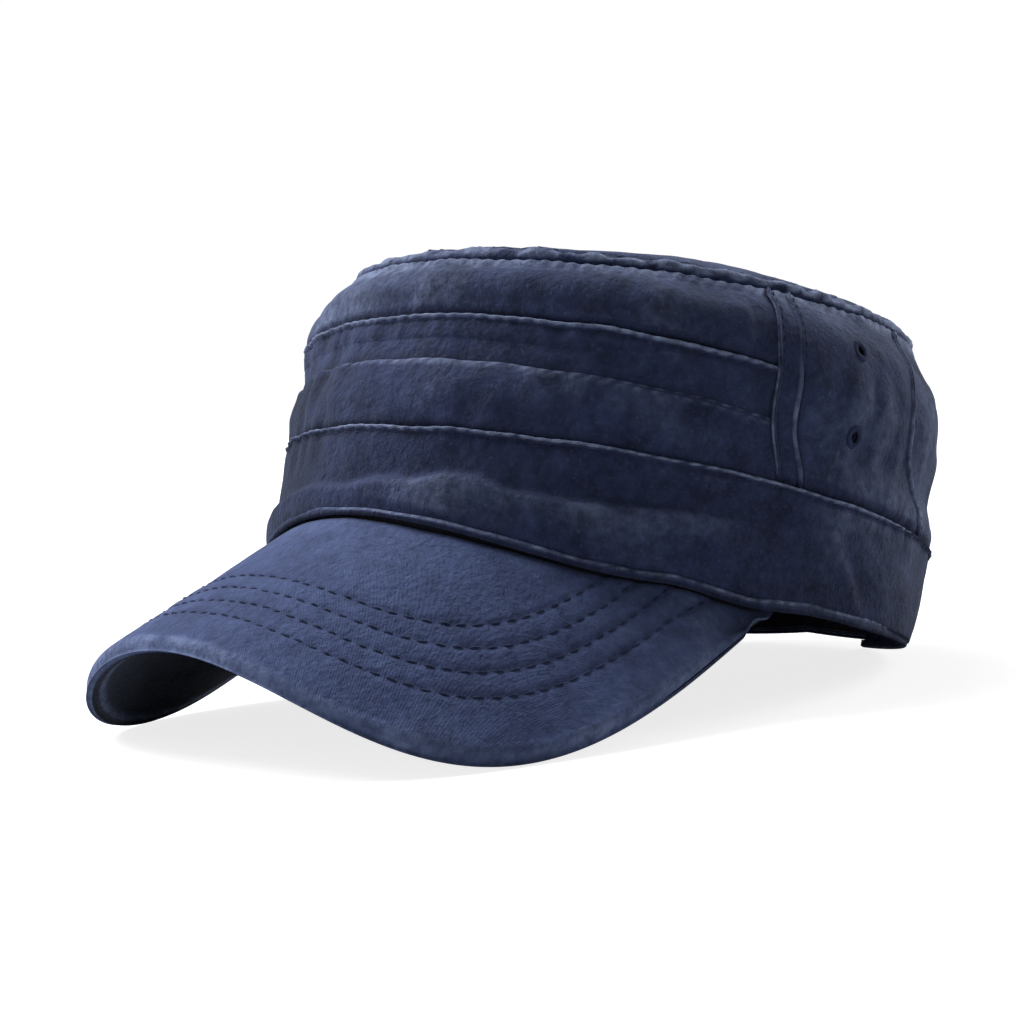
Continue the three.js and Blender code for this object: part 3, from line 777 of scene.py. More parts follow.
def sew_top():
    in_mm, out, wear_and_shading = TOP_RIM.T
    middle = np.linspace(0, 1, 46)[1:]
    reach = (FRONT[TOP_EDGE] + SIDE[TOP_EDGE]) / 2
    inwards = np.linspace(1, 0, 4000)
    climb = DOME_RISE * (1 - inwards**DOME_EDGE_POWER) ** (1 / DOME_ROUND_POWER)
    arc = np.concatenate([[0], np.cumsum(np.hypot(np.diff(inwards) * reach, np.diff(climb)))])
    rim_share = np.interp(in_mm, arc, inwards)
    share = np.concatenate([rim_share, rim_share[-1] * (1 - middle)])
    below = np.concatenate([np.maximum(0, -in_mm), np.zeros(len(middle))])[:, None]
    out = np.concatenate([out, np.zeros(len(middle))])[:, None]
    wear_and_shading = np.concatenate([wear_and_shading, np.zeros(len(middle))])[:, None]
    angle = np.linspace(-math.pi, math.pi, TOP_COLUMNS + 1)[None, :]
    share, angle = np.broadcast_arrays(share[:, None], angle)
    place = top_point(angle, share)
    place[..., 2] -= below
    toward = 0.004
    safe = np.clip(share, toward * 2, 1 - toward * 2)
    normal = normal_of(top_point, angle, safe, toward) * -1
    ring_mm = np.interp(-share, -inwards, arc)
    puckers = 0.8 * soft_noise(place, 3.2, 21) * hump(ring_mm, 3.5, 4.5)
    swells = layered_noise(place, TOP_SWELLS) * smoothstep(ring_mm, 3, 14)
    fine = 0.12 * soft_noise(place, 4.5, 24)
    relief = (swells + puckers + fine) * smoothstep(ring_mm, -1, 3)
    relief = relief * smoothstep(share, 0, 0.05)
    points = place + normal * (out + relief)[..., None]
    mottled = 0.8 + 0.9 * soft_noise(place, 2.4, 25)
    # The rubbed ring and the crests of the puckers are paled by wear; the groove at the turned-in edge
    # and the dips of the puckers are painted darker as shade.
    rubbed_and_shading = np.clip(wear_and_shading * mottled + 0.5 * puckers + 0.15 * relief, -1, 1)
    laid["crown_top_cloth"] = {"points": points, "normals": normal, "from_rim": ring_mm}
    piece, row, column = new_sheet("crown_top_cloth", TOP_COLUMNS, len(share) - 1)
    lay_out(piece, row, column, points, place[..., :2], rubbed_and_shading)
    join_ends(piece)
    return finish_cloth(piece, "crown_cloth", "crown_top")


crown_cloth.append(sew_top())

# %% [markdown]
# ## The peak
# The peak is a stiff board between two covers. Unrolled, its outline is a squared-off oval; bent
# round a sloping axis it takes its curve. The upper cover wraps round the edge, and meets the under
# cover in a groove below the crest. Four rows of stitches quilt the covers to the board, and each
# row presses a shallow channel into the cloth.

# %% The peak's surface
PEAK_ROWS = (33.7, 27.4, 21.0, 14.5)  # distances of the stitch rows from the edge
EDGE_ROUND = PEAK_THICKNESS / 2


def outline(inset=0.0, count=401):
    """The peak's free edge in the flat, as around and ahead, from one back corner to the other."""
    turn = np.linspace(-math.pi / 2, math.pi / 2, count)
    s, c, n = np.sin(turn), np.cos(turn), PEAK_SQUARENESS
    radius = (np.abs(s) ** n + np.abs(c) ** n) ** (-1 / n)
    around = (PEAK_HALF_WIDTH - inset) * radius * s
    return around, (PEAK_REACH + PEAK_BACK - inset) * radius * c - PEAK_BACK


def pull_to_hem(angle):
    return hem_height(angle) - peak_under(*oval(HEM, angle))[2]


COVER_SEWN_TO = math.radians(78.3)  # the covers taper into the hem beyond the board's end
TIP_FROM = 0.93


def peak_seam(turn):
    """Where the peak meets the hem, as around and ahead on the roll."""
    angle = turn * COVER_SEWN_TO
    x, y = oval(HEM, angle)
    step = 0.01
    x1, y1 = oval(HEM, angle + step)
    x0, y0 = oval(HEM, angle - step)
    size = np.hypot(x1 - x0, y1 - y0)
    x, y = x - PEAK_TUCKED_IN * (y1 - y0) / size, y + PEAK_TUCKED_IN * (x1 - x0) / size
    around, ahead, _ = peak_under(x, y)
    return around, ahead


COVER_EXTRA = 1.0  # the covers stand a little outside the board
edge_around, edge_ahead = outline(-COVER_EXTRA)
tip_around, tip_ahead = peak_seam(np.array([-1.0, 1.0]))
CORNER_CUT = 7  # samples left out, which run the edge straight to the tips
edge_around = edge_around[CORNER_CUT:-CORNER_CUT]
edge_around = np.concatenate([tip_around[:1] - 1, edge_around, tip_around[1:] + 1])
edge_ahead = np.concatenate([tip_ahead[:1], edge_ahead[CORNER_CUT:-CORNER_CUT], tip_ahead[1:]])
edge_turns = np.concatenate([[-1], np.linspace(-TIP_FROM, TIP_FROM, len(edge_around) - 2), [1]])


def peak_lines(turn):
    """Where a line across the peak starts at the seam, and how far it goes to the free edge."""
    start = np.stack(peak_seam(turn))
    end = np.stack([np.interp(turn, edge_turns, edge_around), np.interp(turn, edge_turns, edge_ahead)])
    return start, end - start


def peak_place(turn, share):
    """Around and ahead on the flat peak: share runs from 0 at the hem to 1 at the free edge."""
    start, way = peak_lines(turn)
    return start + way * share


def peak_surface(turn, share):
    """The plain upper surface, bent and pulled up to the hem."""
    point = peak_point(*peak_place(turn, share))
    free = smoothstep(share, 0.3, 1) * (1 - smoothstep(np.abs(turn), TIP_FROM, 1))
    point[..., 2] += pull_to_hem(turn * COVER_SEWN_TO) * (1 - free)
    return point


def peak_normal(turn, share):
    safe_turn, safe_share = np.clip(turn, -0.985, 0.985), np.clip(share, 0.011, 0.989)
    return -normal_of(peak_surface, safe_turn, safe_share)


def peak_length(turn):
    """Millimetres from the seam to the free edge."""
    return np.hypot(*peak_lines(turn)[1])


print("peak: front reach", PEAK_REACH, "mm, corner", float(peak_length(np.array(1.0)).round(1)), "mm")

# %% [markdown]
# The stitch rows and the worn rim keep their distance from the free edge. That distance is found by
# halving: the inset at which the outline would run through the point.

# %% Distance from the peak's edge
PEAK_SWELLS = (
    # height, size, seed
    (0.3, 24, 31), (0.1, 9, 32), (0.05, 3.5, 33),
)
SEAM_LENGTH = 130  # millimetres from the middle of the front to a back corner, about


def edge_distance(turn, share):
    """Roughly how far a point of the flat peak lies from the free edge, in millimetres."""
    around, ahead = peak_place(turn, share)
    n = PEAK_SQUARENESS
    low, high = np.zeros_like(around), np.full_like(around, 60.0)
    for _ in range(18):
        inset = (low + high) / 2
        size = (np.abs(around) / (PEAK_HALF_WIDTH - inset)) ** n
        size = size + (np.abs(ahead + PEAK_BACK) / (PEAK_REACH + PEAK_BACK - inset)) ** n
        low, high = np.where(size < 1, inset, low), np.where(size < 1, high, inset)
    return (low + high) / 2


def peak_relief(turn, share):
    place = peak_surface(turn, share)
    inset = edge_distance(turn, share)
    along = turn * SEAM_LENGTH
    total = layered_noise(place, PEAK_SWELLS)
    for row in PEAK_ROWS:
        pull = 0.75 + 0.25 * np.cos(along * 2 * math.pi / STITCH_PITCH)
        total = total - 0.5 * pull * hump(inset, row, 1.1)
    between = hump(inset, 24, 12)
    return total + 0.12 * between * soft_noise(place, 4.5, 34)


# %% Cover the peak
UPPER_DROP = 2.9  # how far down the crest of the edge lies, of the peak's whole thickness
UNDER_WRAP = 2.4  # and how much further down the upper cover wraps below it
UNDER_INSET = 1.0  # the under cover starts behind that wrap
CORNER_REACH = 120  # millimetres of seam for one whole turn, near the back corners
CROWDING = 1.45  # how strongly the columns gather towards the back corners
WRAP_ANGLE = 66  # how far the upper cover wraps round below its crest, in degrees
SHORT_LENGTH = 12  # the rim's rows draw together where the peak is shorter than this


def rounded_edge(from_edge, from_side):
    """From 0 on the flat to 1 at the free edge, round the outline and both back corners."""
    toward_edge = np.clip(1 - from_edge / EDGE_ROUND, 0, 1)
    toward_side = np.clip(1 - from_side / EDGE_ROUND, 0, 1)
    return np.minimum(1, np.hypot(toward_edge, toward_side))


def cover_grid(columns, rows, upper):
    """Turn and inset of a cover's points, and which rows are wrapped below the crest."""
    turns = np.sin(np.linspace(-1, 1, columns + 1) * CROWDING) / math.sin(CROWDING)
    close = EDGE_ROUND * (1 - np.cos(np.radians(np.linspace(0, 80, 7)))) / CORNER_REACH
    turns = turns[np.abs(turns) < 1 - close[-1] - 0.003]
    turns = np.concatenate([close - 1, turns, (1 - close)[::-1]])[None, :]
    length = peak_length(turns)
    wrap = np.radians(np.linspace(-WRAP_ANGLE if upper else 0, 90, 19 if upper else 12))
    near = EDGE_ROUND * (1 - np.cos(wrap))
    body = np.linspace(0, 1, rows + 1)[1:] ** 1.1
    scale = np.minimum(1, length / SHORT_LENGTH)
    inset = np.concatenate([near[:, None] * scale,
                            near[-1] * scale + (length - near[-1] * scale) * body[:, None]])
    if not upper:
        inset = inset + UNDER_INSET * scale * (1 - inset / length)
    wrapped = (np.arange(len(inset)) < np.sum(wrap < 0))[:, None]
    return np.broadcast_to(turns, inset.shape), inset, length, scale, wrapped


def cover_peak(name, columns, rows, upper):
    turn, inset, length, scale, wrapped = cover_grid(columns, rows, upper)
    from_tip = 1 - np.abs(turn)
    share = np.clip(1 - inset / length, 0, 1)
    normal = peak_normal(turn, share)
    step = 0.004
    seam_rate = peak_surface(turn * 0.98 + step, share) - peak_surface(turn * 0.98 - step, share)
    from_side = from_tip * np.linalg.norm(seam_rate, axis=-1) / (2 * step)
    from_edge = np.minimum(edge_distance(turn, share), inset / scale)
    from_seam = length - inset
    inside = np.minimum(from_edge, from_side)
    thin = 0.12 + 0.88 * smoothstep(from_tip, 0, 0.22)
    relief = peak_relief(turn, share)
    if upper:
        flat = np.sqrt(1 - rounded_edge(from_edge, from_side) ** 2)
        wrap_down = UNDER_WRAP * flat * smoothstep(from_tip, 0, 0.12)
        down = thin * np.where(wrapped, UPPER_DROP + wrap_down, UPPER_DROP * (1 - flat))
        seam_dip = 1.2 * (1 - smoothstep(from_seam, 0, 1.5)) * smoothstep(from_side, 2, 8)
        relief = relief * smoothstep(inside, 0, 4) - seam_dip
        uneven = 1 + 0.5 * soft_noise(peak_surface(turn, share), 6, 35)
        rubbed_and_shading = 0.55 * hump(inside, 0.8, 1.6) * uneven * smoothstep(from_tip, 0, 0.1)
        # Swells are paled by wear, and the stitch channels and hollows are painted darker as shade.
        rubbed_and_shading = rubbed_and_shading + 0.5 * relief + 0.15 * hump(from_side, 3, 5)
        # The strip along the seam, in the recess under the hem roll, is painted dark as shade.
        rubbed_and_shading = rubbed_and_shading - 0.9 * (1 - smoothstep(from_seam, 1.2, 3.2))
        # Below the crest the wrapped cloth is pale at the edge, then painted dark as shade in the
        # groove.
        rubbed_and_shading = np.where(wrapped, 0.3 * uneven - 0.8 * smoothstep(from_edge, 0.9, 1.4), rubbed_and_shading)
    else:
        flat = np.sqrt(1 - rounded_edge(from_edge - UNDER_INSET, from_side - UNDER_INSET) ** 2)
        kept = 0.55 + 0.45 * smoothstep(from_tip, 0.1, 0.4)
        down = (PEAK_THICKNESS * kept - 0.8 * (1 - flat)) * thin
        relief = relief * 0.6 * smoothstep(inside, 0, 5)
        # A band near the under cover's edge is painted paler as the light reaching it, and the very
        # edge in the groove is painted dark as shade.
        rubbed_and_shading = hump(inside, 2.7, 1.1) - (1 - smoothstep(inside, 1.2, 1.9))
    points = peak_surface(turn, share) + normal * (relief - down)[..., None]
    cloth_mm = np.stack([np.interp(turn, edge_turns, edge_around) * share, inset], -1)
    laid[name] = {"points": points, "normals": normal, "from_edge": from_edge}
    piece, row, column = new_sheet(name, turn.shape[1] - 1, turn.shape[0] - 1)
    lay_out(piece, row, column, points, cloth_mm, np.clip(rubbed_and_shading, -1, 1))
    return finish_cloth(piece, "peak_cloth", "peak_top" if upper else "peak_under", thickness=0)


peak_cloth = [cover_peak("peak_upper_cloth", 320, 116, upper=True),
              cover_peak("peak_under_cloth", 240, 60, upper=False)]

# %% [markdown]
# ## The sweatband
# Inside, a plain dark tape runs round the head, hides the seam of the peak and shows as a thin
# shadow line below the hem.

# %% Sew the sweatband


def tape_foot(angle):
    away = np.abs(turn_of(angle))
    covers = 6.2 * (1 - smoothstep(away, PEAK_SEWN_TO - 0.05, PEAK_SEWN_TO + 0.3))
    return (2.5 + STRAP_EDGE_LIFT - covers) / SIDE_BAND


tape = crown_piece("sweatband_tape", left=-180, right=180, low=tape_foot, high=0.88,
                   body=(240, 14), edges=(CUT, CUT, SMALL_FOLD, SMALL_FOLD), base=-2.9,
                   relief=0.25, ring=True)
finish_cloth(tape, "lining_cloth", "sweatband", thickness=0.9)

# %% [markdown]
# ## Eyelets
# Each side panel breathes through two sewn eyelets. A machine punches a hole and sews a satin ring
# round it: thread laid side by side, out and back over the edge. The ring here is a torus pressed
# flat, with a ripple for every turn of the thread, and the cloth below it is really open.

# %% Punch and sew the eyelets
EYELET_RING, EYELET_CORD, EYELET_TURNS = 1.95, 0.75, 32
EYELET_TALL = 1.2  # a worn eyelet is drawn out a little upwards
EYELET_HOLE, EYELET_HEIGHT = 1.75, 0.45
TORUS_CORD = 0.25  # the cord's radius on the torus as it is added, where the ring's is 1


def punch(piece, centre, radius):
    """Cuts the faces within a radius of a place out of a piece."""
    mesh = piece.data
    far = np.linalg.norm(coordinates(mesh.polygons, "center") - to_shelf(centre), axis=1)
    bpy.ops.object.select_all(action="DESELECT")
    piece.select_set(True)
    bpy.context.view_layer.objects.active = piece
    bpy.ops.object.mode_set(mode="EDIT")
    bpy.ops.mesh.select_all(action="DESELECT")
    bpy.ops.object.mode_set(mode="OBJECT")
    mesh.polygons.foreach_set("select", far < radius * MM)
    bpy.ops.object.mode_set(mode="EDIT")
    bpy.ops.mesh.select_mode(type="FACE")
    bpy.ops.mesh.delete(type="FACE")
    bpy.ops.object.mode_set(mode="OBJECT")


def finish_thread(piece, points, *nodes):
    """Moves a thread's points to their places in the pattern, and finishes it like the cloth."""
    piece.data.vertices.foreach_set("co", to_shelf(points).ravel())
    piece.data.uv_layers[0].name = "cloth"
    return finish_cloth(piece, "eyelet_thread", *nodes, thickness=0)


def panel_place(name, angle, level):
    """The point and normal of a laid piece that is nearest to a place on the plain crown."""
    grid = laid[name]
    far = np.linalg.norm(grid["points"] - crown_point(angle, level), axis=-1)
    row, column = np.unravel_index(far.argmin(), far.shape)
    return grid["points"][row, column], grid["normals"][row, column]


def sew_eyelet(name, node, centre, normal):
    bpy.ops.object.select_all(action="DESELECT")
    bpy.ops.mesh.primitive_torus_add(major_radius=1, minor_radius=TORUS_CORD, major_segments=136,
                                     minor_segments=12)
    ring = bpy.context.object
    ring.name = name
    local = coordinates(ring.data.vertices)
    turn = np.arctan2(local[:, 1], local[:, 0])
    around_cord = np.stack([np.hypot(local[:, 0], local[:, 1]) - 1, local[:, 2]], 1) / TORUS_CORD
    ripple = 1 + 0.07 * np.cos(turn * EYELET_TURNS) + 0.05 * np.sin(turn * 3 + 1)
    reach = EYELET_RING + EYELET_CORD * around_cord[:, 0] * ripple
    height = EYELET_HEIGHT * around_cord[:, 1] * ripple + 0.05
    side = np.cross((0, 0, 1), normal)
    side = side / np.linalg.norm(side)
    up = np.cross(normal, side)
    points = (centre + (reach * np.cos(turn))[:, None] * side
              + (EYELET_TALL * reach * np.sin(turn))[:, None] * up + height[:, None] * normal)
    return finish_thread(ring, points, node)


eyelets = []
for word, hand in (("left", 1), ("right", -1)):
    panel = bpy.data.objects[f"side_cloth_{word}"]
    for height_word, level in EYELET_LEVELS.items():
        centre, normal = panel_place(panel.name, hand * EYELET_ANGLE, level)
        punch(panel, centre, EYELET_HOLE)
        node = f"eyelet_{word}_{height_word}"
        eyelets.append(sew_eyelet(f"sewn_{node}", node, centre, normal))
print("sewn eyelets:", len(eyelets))

# %% [markdown]
# ## Stitches
# Every seam shows its thread: a short stitch of twisted cotton, then a gap where the thread dives
# through the cloth. One small sphere is drawn out to the length of a stitch and repeated with the
# Array modifier, once for each stitch of a row. The row is then laid along a line of the cloth that
# has already been sewn, so it follows every dip.

# %% Sew rows of stitches


def line_at(name, measure, distance):
    """The line on a laid piece where a measure has a given value, with its normals."""
    grid = laid[name]
    values, points, normals = grid[measure], grid["points"], grid["normals"]
    if measure in ("from_left", "from_right"):
        values, points, normals = values.T, points.swapaxes(0, 1), normals.swapaxes(0, 1)
    line, outward = [], []
    for column in range(values.shape[1]):
        order = np.argsort(values[:, column])
        steps = values[order, column]
        if not steps[0] <= distance <= steps[-1]:
            continue
        line.append([np.interp(distance, steps, points[order, column, k]) for k in range(3)])
        outward.append([np.interp(distance, steps, normals[order, column, k]) for k in range(3)])
    return np.array(line), np.array(outward)


def sew_row(name, line, outward, pitch, length, thick, proud, trim=1.0):
    """Lays a row of stitches along a line, each a little uneven in place and length."""
    run = np.concatenate([[0], np.cumsum(np.linalg.norm(np.diff(line, axis=0), axis=1))])
    count = int((run[-1] - 2 * trim) / pitch)
    bpy.ops.object.select_all(action="DESELECT")
    bpy.ops.mesh.primitive_uv_sphere_add(segments=8, ring_count=6, radius=1)
    row = bpy.context.object
    row.name = name
    one = len(row.data.vertices)
    apply_modifier(row, "ARRAY", count=count, relative_offset_displace=(0, 0, 0))
    local = coordinates(row.data.vertices).reshape(count, one, 3)
    wobble = np.random.default_rng(count).uniform(-1, 1, (count, 4, 1))
    middle = trim + (np.arange(count)[:, None] + 0.5) * pitch + 0.25 * wobble[:, 0]
    half = length / 2 * (1 + 0.08 * wobble[:, 1])
    along = middle + local[..., 2] * half
    sideways = local[..., 0] * thick / 2 + 0.12 * wobble[:, 2]
    height = local[..., 1] * thick / 2 + proud - 0.45 * local[..., 2] ** 2

    def at(distance, values):
        return np.stack([np.interp(distance, run, values[:, k]) for k in range(3)], -1)

    normal = at(along, outward)
    across = np.cross(normal, at(along + 0.5, line) - at(along - 0.5, line))
    across = across / np.linalg.norm(across, axis=-1, keepdims=True)
    points = at(along, line) + across * sideways[..., None] + normal * height[..., None]
    return finish_thread(row, points)


stitches = []
for number, inset in enumerate(PEAK_ROWS, 1):
    line, outward = line_at("peak_upper_cloth", "from_edge", inset)
    stitches.append(sew_row(f"peak_stitches_{number}", line, outward, pitch=STITCH_PITCH,
                            length=3.5, thick=0.8, proud=0.1))

SEAM_ROWS = (
    # name, piece, measure, distance, pitch, length
    ("upper_seam_stitches", "front_tuck_cloth", "from_high", 2.0, 3.2, 2.2),
    ("band_stitches", "head_band_cloth", "from_high", 2.0, 4.7, 3.2),
    ("top_stitches", "crown_top_cloth", "from_rim", 5.2, 4.3, 2.8),
    ("front_seam_stitches_left", "strip_cloth_left", "from_left", 2.0, 3.4, 2.4),
    ("front_seam_stitches_right", "strip_cloth_right", "from_right", 2.0, 3.4, 2.4),
    ("side_seam_stitches_left", "side_cloth_left", "from_left", 2.0, 3.4, 2.4),
    ("side_seam_stitches_right", "side_cloth_right", "from_right", 2.0, 3.4, 2.4),
    ("rear_seam_stitches_left", "back_cloth", "from_left", 2.0, 3.6, 2.6),
    ("rear_seam_stitches_right", "back_cloth", "from_right", 2.0, 3.6, 2.6),
)
for name, piece_name, measure, inset, pitch, length in SEAM_ROWS:
    line, outward = line_at(piece_name, measure, inset)
    stitches.append(sew_row(name, line, outward, pitch, length, thick=0.5, proud=0.05))
print("rows of stitches:", len(stitches), "with",
      sum(len(row.data.polygons) for row in stitches), "faces")

# %% [markdown]
# ## Washed twill
# The dye of garment-washed cotton fades on all that stands out, and the hollows are painted darker
# as shade. One node group holds that: slow clouds and small mottles between a deep and a mid blue,
# pale flecks of fluff, a pale tone where the wear and shading attribute is high, for wear with some
# painted light, and a deep one where it is low, for painted shade. The twill's fine diagonal ribs
# come from the cloth's own UV map and only bump the surface.

# %% Build the washed twill group
RIB_PITCH, THREAD_PITCH = 0.62, 0.44  # millimetres from rib to rib, and from thread to thread


def add_node(tree, kind, **inputs):
    node = tree.nodes.new(kind)
    for key, value in inputs.items():
        node.inputs[key].default_value = value
    return node


def math_node(tree, operation, first, second=None, clamp=False):
    node = tree.nodes.new("ShaderNodeMath")
    node.operation = operation
    node.use_clamp = clamp
    for socket, value in zip(node.inputs, (first, second)):
        if value is None:
            continue
        if isinstance(value, (int, float)):
            socket.default_value = value
        else:
            tree.links.new(value, socket)
    return node.outputs[0]


def ranged_noise(tree, coordinates, scale, detail, low, high, distortion=0.0):
    noise = add_node(tree, "ShaderNodeTexNoise", Scale=scale, Detail=detail, Roughness=0.6,
                     Distortion=distortion)
    tree.links.new(coordinates, noise.inputs["Vector"])
    ranged = tree.nodes.new("ShaderNodeMapRange")
    ranged.inputs["From Min"].default_value = low
    ranged.inputs["From Max"].default_value = high
    tree.links.new(noise.outputs[0], ranged.inputs["Value"])
    return ranged.outputs[0]


def mix_colour(tree, share, first, second):
    node = tree.nodes.new("ShaderNodeMix")
    node.data_type = "RGBA"
    for name, value in (("Factor", share), ("A", first), ("B", second)):
        socket = next(s for s in node.inputs if s.name == name and s.type in ("RGBA", "VALUE")
                      and s.enabled)
        if isinstance(value, (int, float, tuple)):
            socket.default_value = value
        else:
            tree.links.new(value, socket)
    return next(s for s in node.outputs if s.type == "RGBA" and s.enabled)


def build_twill_group():
    tree = bpy.data.node_groups.new("washed twill", "ShaderNodeTree")
    for name in ("Deep", "Mid", "Faded"):
        tree.interface.new_socket(name, in_out="INPUT", socket_type="NodeSocketColor")
    for name, value in (("Wear and light", 1.0), ("Flecks", 0.3), ("Rib", 0.6)):
        socket = tree.interface.new_socket(name, in_out="INPUT", socket_type="NodeSocketFloat")
        socket.default_value = value
    for name, kind in (("Colour", "Color"), ("Roughness", "Float"), ("Normal", "Vector")):
        tree.interface.new_socket(name, in_out="OUTPUT", socket_type=f"NodeSocket{kind}")
    given = tree.nodes.new("NodeGroupInput")
    result = tree.nodes.new("NodeGroupOutput")

    def times(first, second):
        return math_node(tree, "MULTIPLY", first, second)

    def plus(first, second, clamp=False):
        return math_node(tree, "ADD", first, second, clamp)

    place = tree.nodes.new("ShaderNodeTexCoord")
    to_mm = tree.nodes.new("ShaderNodeMapping")
    to_mm.inputs["Scale"].default_value = (1 / MM, 1 / MM, 1 / MM)
    tree.links.new(place.outputs["Object"], to_mm.inputs["Vector"])
    millimetres = to_mm.outputs[0]

    clouds = ranged_noise(tree, millimetres, 0.09, 4, 0.36, 0.64)
    mottles = ranged_noise(tree, millimetres, 0.34, 4, 0.36, 0.66)
    fluff = ranged_noise(tree, millimetres, 0.8, 4, 0.58, 0.74)
    spots = ranged_noise(tree, millimetres, 0.7, 3, 0.62, 0.74, 0.4)

    wear_and_shading = tree.nodes.new("ShaderNodeAttribute")
    wear_and_shading.attribute_name = "wear_and_shading"
    # The attribute's positive part is wear with some painted light; its negative part is painted shade.
    rubbed_and_shading = math_node(tree, "MAXIMUM", wear_and_shading.outputs["Fac"], 0.0)
    painted_shade = math_node(tree, "MAXIMUM", times(wear_and_shading.outputs["Fac"], -1.0), 0.0)

    tone = plus(times(clouds, 0.5), times(mottles, 0.5))
    plain = mix_colour(tree, tone, given.outputs["Deep"], given.outputs["Mid"])
    patchy = plus(times(mottles, 0.8), 0.45)
    pale = times(times(rubbed_and_shading, patchy), given.outputs["Wear and light"])
    pale = plus(pale, times(fluff, given.outputs["Flecks"]), clamp=True)
    worn_and_shading = mix_colour(tree, pale, plain, given.outputs["Faded"])
    # Painted shade and the dark spots mix in a colour darker than the deep blue.
    shade_and_dark_flecks = plus(times(painted_shade, 0.75), times(spots, 0.28), clamp=True)
    shade = mix_colour(tree, 0.55, given.outputs["Deep"], (0, 0, 0, 1))
    colour = mix_colour(tree, shade_and_dark_flecks, worn_and_shading, shade)

    cloth = tree.nodes.new("ShaderNodeUVMap")
    cloth.uv_map = "cloth"
    parts = tree.nodes.new("ShaderNodeSeparateXYZ")
    tree.links.new(cloth.outputs[0], parts.inputs[0])
    slope = plus(parts.outputs["X"], parts.outputs["Y"])
    ribs = math_node(tree, "SINE", times(slope, 2 * math.pi / RIB_PITCH))
    threads = math_node(tree, "SINE", times(parts.outputs["X"], 2 * math.pi / THREAD_PITCH))
    weave = times(plus(ribs, times(threads, 0.5)), given.outputs["Rib"])
    crumple = ranged_noise(tree, millimetres, 0.55, 4, 0.2, 0.8, 0.3)
    bump = add_node(tree, "ShaderNodeBump", Strength=1.0, Distance=MM)
    tree.links.new(plus(times(weave, 0.05), times(crumple, 0.45)), bump.inputs["Height"])

    rough = math_node(tree, "SUBTRACT", 0.95, times(pale, 0.1))
    tree.links.new(colour, result.inputs["Colour"])
    tree.links.new(rough, result.inputs["Roughness"])
    tree.links.new(bump.outputs[0], result.inputs["Normal"])
    return tree


twill = build_twill_group()
print("washed twill:", len(twill.nodes), "nodes")

# %% [markdown]
# Five cloths share the group. The crown's navy is deeper than the peak's, the peak's under cover
# is painted nearly black as the shade under the peak, the tape inside is nearly black, and the
# thread shows no ribs.

# %% Mix the cloth materials
WEAR_AND_LIGHT_SHOWN, FLECKS_SHOWN = 1.0, 0.16
SHEEN, SHEEN_ROUGHNESS, SHEEN_TINT = 0.12, 0.45, (0.55, 0.68, 1.0, 1)
CLOTH_SHINE = 0.25


def cloth_material(name, deep, mid, faded, rib):
    material = bpy.data.materials.new(name)
    material.use_nodes = True
    tree = material.node_tree
    shader = tree.nodes["Principled BSDF"]
    group = tree.nodes.new("ShaderNodeGroup")
    group.node_tree = twill
    for key, value in (("Deep", deep), ("Mid", mid), ("Faded", faded)):
        group.inputs[key].default_value = (*value, 1)
    for key, value in (("Wear and light", WEAR_AND_LIGHT_SHOWN), ("Flecks", FLECKS_SHOWN), ("Rib", rib)):
        group.inputs[key].default_value = value
    for made, used in (("Colour", "Base Color"), ("Roughness", "Roughness"), ("Normal", "Normal")):
        tree.links.new(group.outputs[made], shader.inputs[used])
    shader.inputs["Sheen Weight"].default_value = SHEEN
    shader.inputs["Sheen Roughness"].default_value = SHEEN_ROUGHNESS
    shader.inputs["Sheen Tint"].default_value = SHEEN_TINT
    shader.inputs["Specular IOR Level"].default_value = CLOTH_SHINE
    return material


CLOTHS = (
    # name, pieces, deep shade, mid shade, faded shade, rib
    ("crown navy twill", crown_cloth,
     (0.013, 0.019, 0.052), (0.039, 0.055, 0.143), (0.21, 0.26, 0.42), 0.6),
    ("peak navy twill", peak_cloth[:1],
     (0.036, 0.052, 0.130), (0.073, 0.104, 0.240), (0.18, 0.235, 0.42), 0.4),
    # The under cover is painted nearly black as the shade under the peak, with a paler faded tone for
    # its painted-light band.
    ("under cover twill in painted shade", peak_cloth[1:],
     (0.010, 0.013, 0.026), (0.020, 0.026, 0.05), (0.14, 0.18, 0.33), 0.6),
    ("lining tape", [tape],
     (0.014, 0.016, 0.024), (0.024, 0.026, 0.04), (0.03, 0.035, 0.06), 0.6),
    ("navy thread", stitches + eyelets,
     (0.016, 0.022, 0.058), (0.034, 0.046, 0.115), (0.05, 0.06, 0.10), 0.0),
)
for name, pieces, deep, mid, faded, rib in CLOTHS:
    material = cloth_material(name, deep, mid, faded, rib)
    for piece in pieces:
        piece.data.materials.append(material)
    print(name, "on", len(pieces), "pieces")

# %% [markdown]
# ## Floor and light
# A plain pale floor and soft studio light. The key comes from high on the wearer's right, with a
# low light below it and one nearly overhead. A fourth, from behind, lifts the outline, and a dim
# sky fills the shadows. The floor and the sky look brighter to the camera than the light they give.

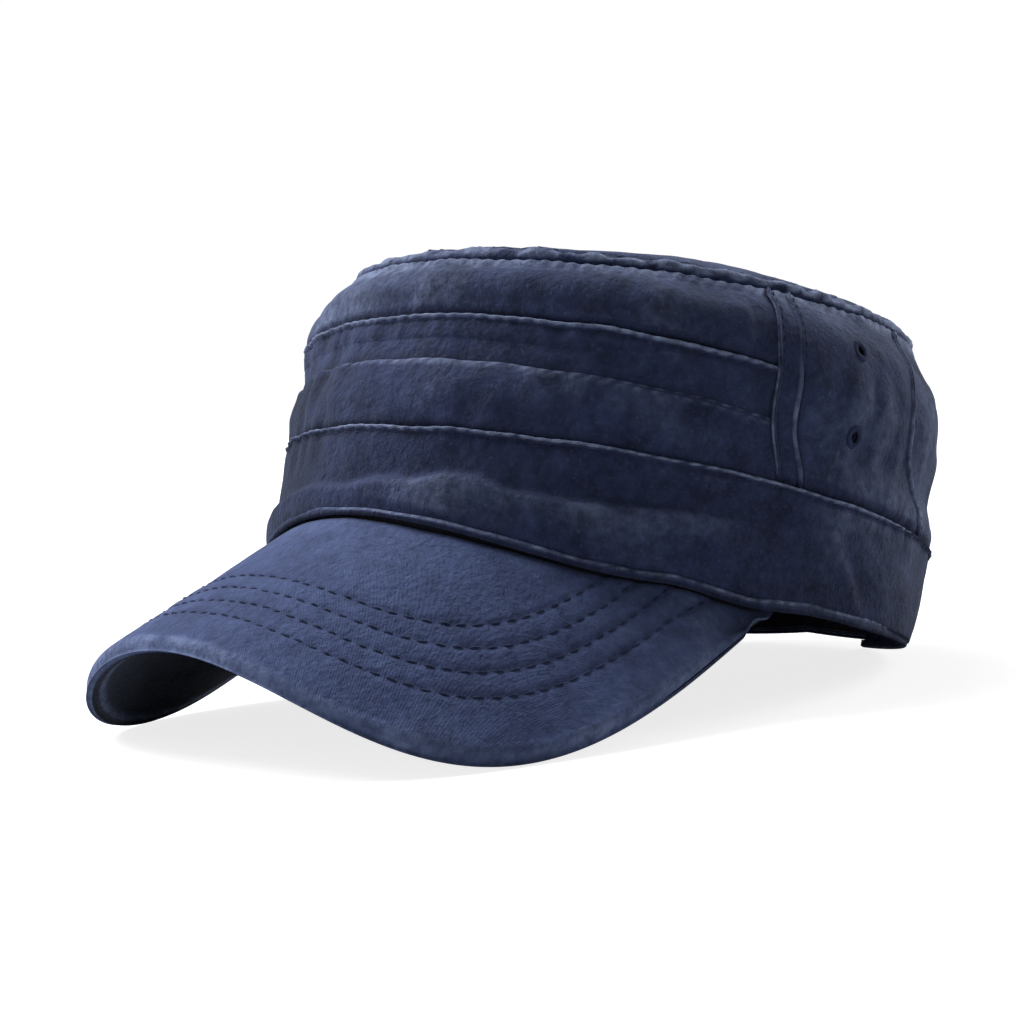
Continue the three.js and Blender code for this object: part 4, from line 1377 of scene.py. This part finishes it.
# %% Light the scene
FLOOR_SHADE, FLOOR_GLOW = 0.5, 0.8
SKY_LIGHT, SKY_GLOW = 0.115, 0.9
LIGHT_SOFTNESS = 0.6  # the angle that each light fills, in radians

bpy.ops.object.select_all(action="DESELECT")
bpy.ops.mesh.primitive_plane_add(size=12)
floor = bpy.context.object
floor.name = "floor"
floor_material = bpy.data.materials.new("pale floor")
floor_material.use_nodes = True
floor_shader = floor_material.node_tree.nodes["Principled BSDF"]
floor_shader.inputs["Base Color"].default_value = (FLOOR_SHADE, FLOOR_SHADE, FLOOR_SHADE, 1)
floor_shader.inputs["Roughness"].default_value = 1.0
floor_shader.inputs["Specular IOR Level"].default_value = 0.0
floor_shader.inputs["Emission Color"].default_value = (1, 1, 1, 1)
seen = floor_material.node_tree.nodes.new("ShaderNodeLightPath")
glow = math_node(floor_material.node_tree, "MULTIPLY", seen.outputs["Is Camera Ray"], FLOOR_GLOW)
floor_material.node_tree.links.new(glow, floor_shader.inputs["Emission Strength"])
floor.data.materials.append(floor_material)

LIGHTS = (
    # name, direction it comes from, strength
    ("key", (-0.6, -0.24, 0.765), 3.1),
    ("low left", (-0.81, -0.526, 0.259), 0.7),
    ("high", (-0.407, 0.0, 0.914), 1.2),
    ("rear", (0.05, 0.95, 0.3), 1.9),
)
for name, source, strength in LIGHTS:
    bpy.ops.object.light_add(type="SUN", location=source)
    light = bpy.context.object
    light.name = name
    light.data.angle = LIGHT_SOFTNESS
    light.data.energy = strength
    light.rotation_mode = "QUATERNION"
    light.rotation_quaternion = Vector(source).to_track_quat("Z", "Y")

world = bpy.data.worlds.new("studio")
bpy.context.scene.world = world
world.use_nodes = True
backdrop = world.node_tree.nodes["Background"]
backdrop.inputs["Color"].default_value = (1, 1, 1, 1)
direct = world.node_tree.nodes.new("ShaderNodeLightPath")
shown = math_node(world.node_tree, "MULTIPLY", direct.outputs["Is Camera Ray"], SKY_GLOW)
sky = math_node(world.node_tree, "ADD", shown, SKY_LIGHT)
world.node_tree.links.new(sky, backdrop.inputs["Strength"])
bpy.context.scene.view_settings.view_transform = "Standard"
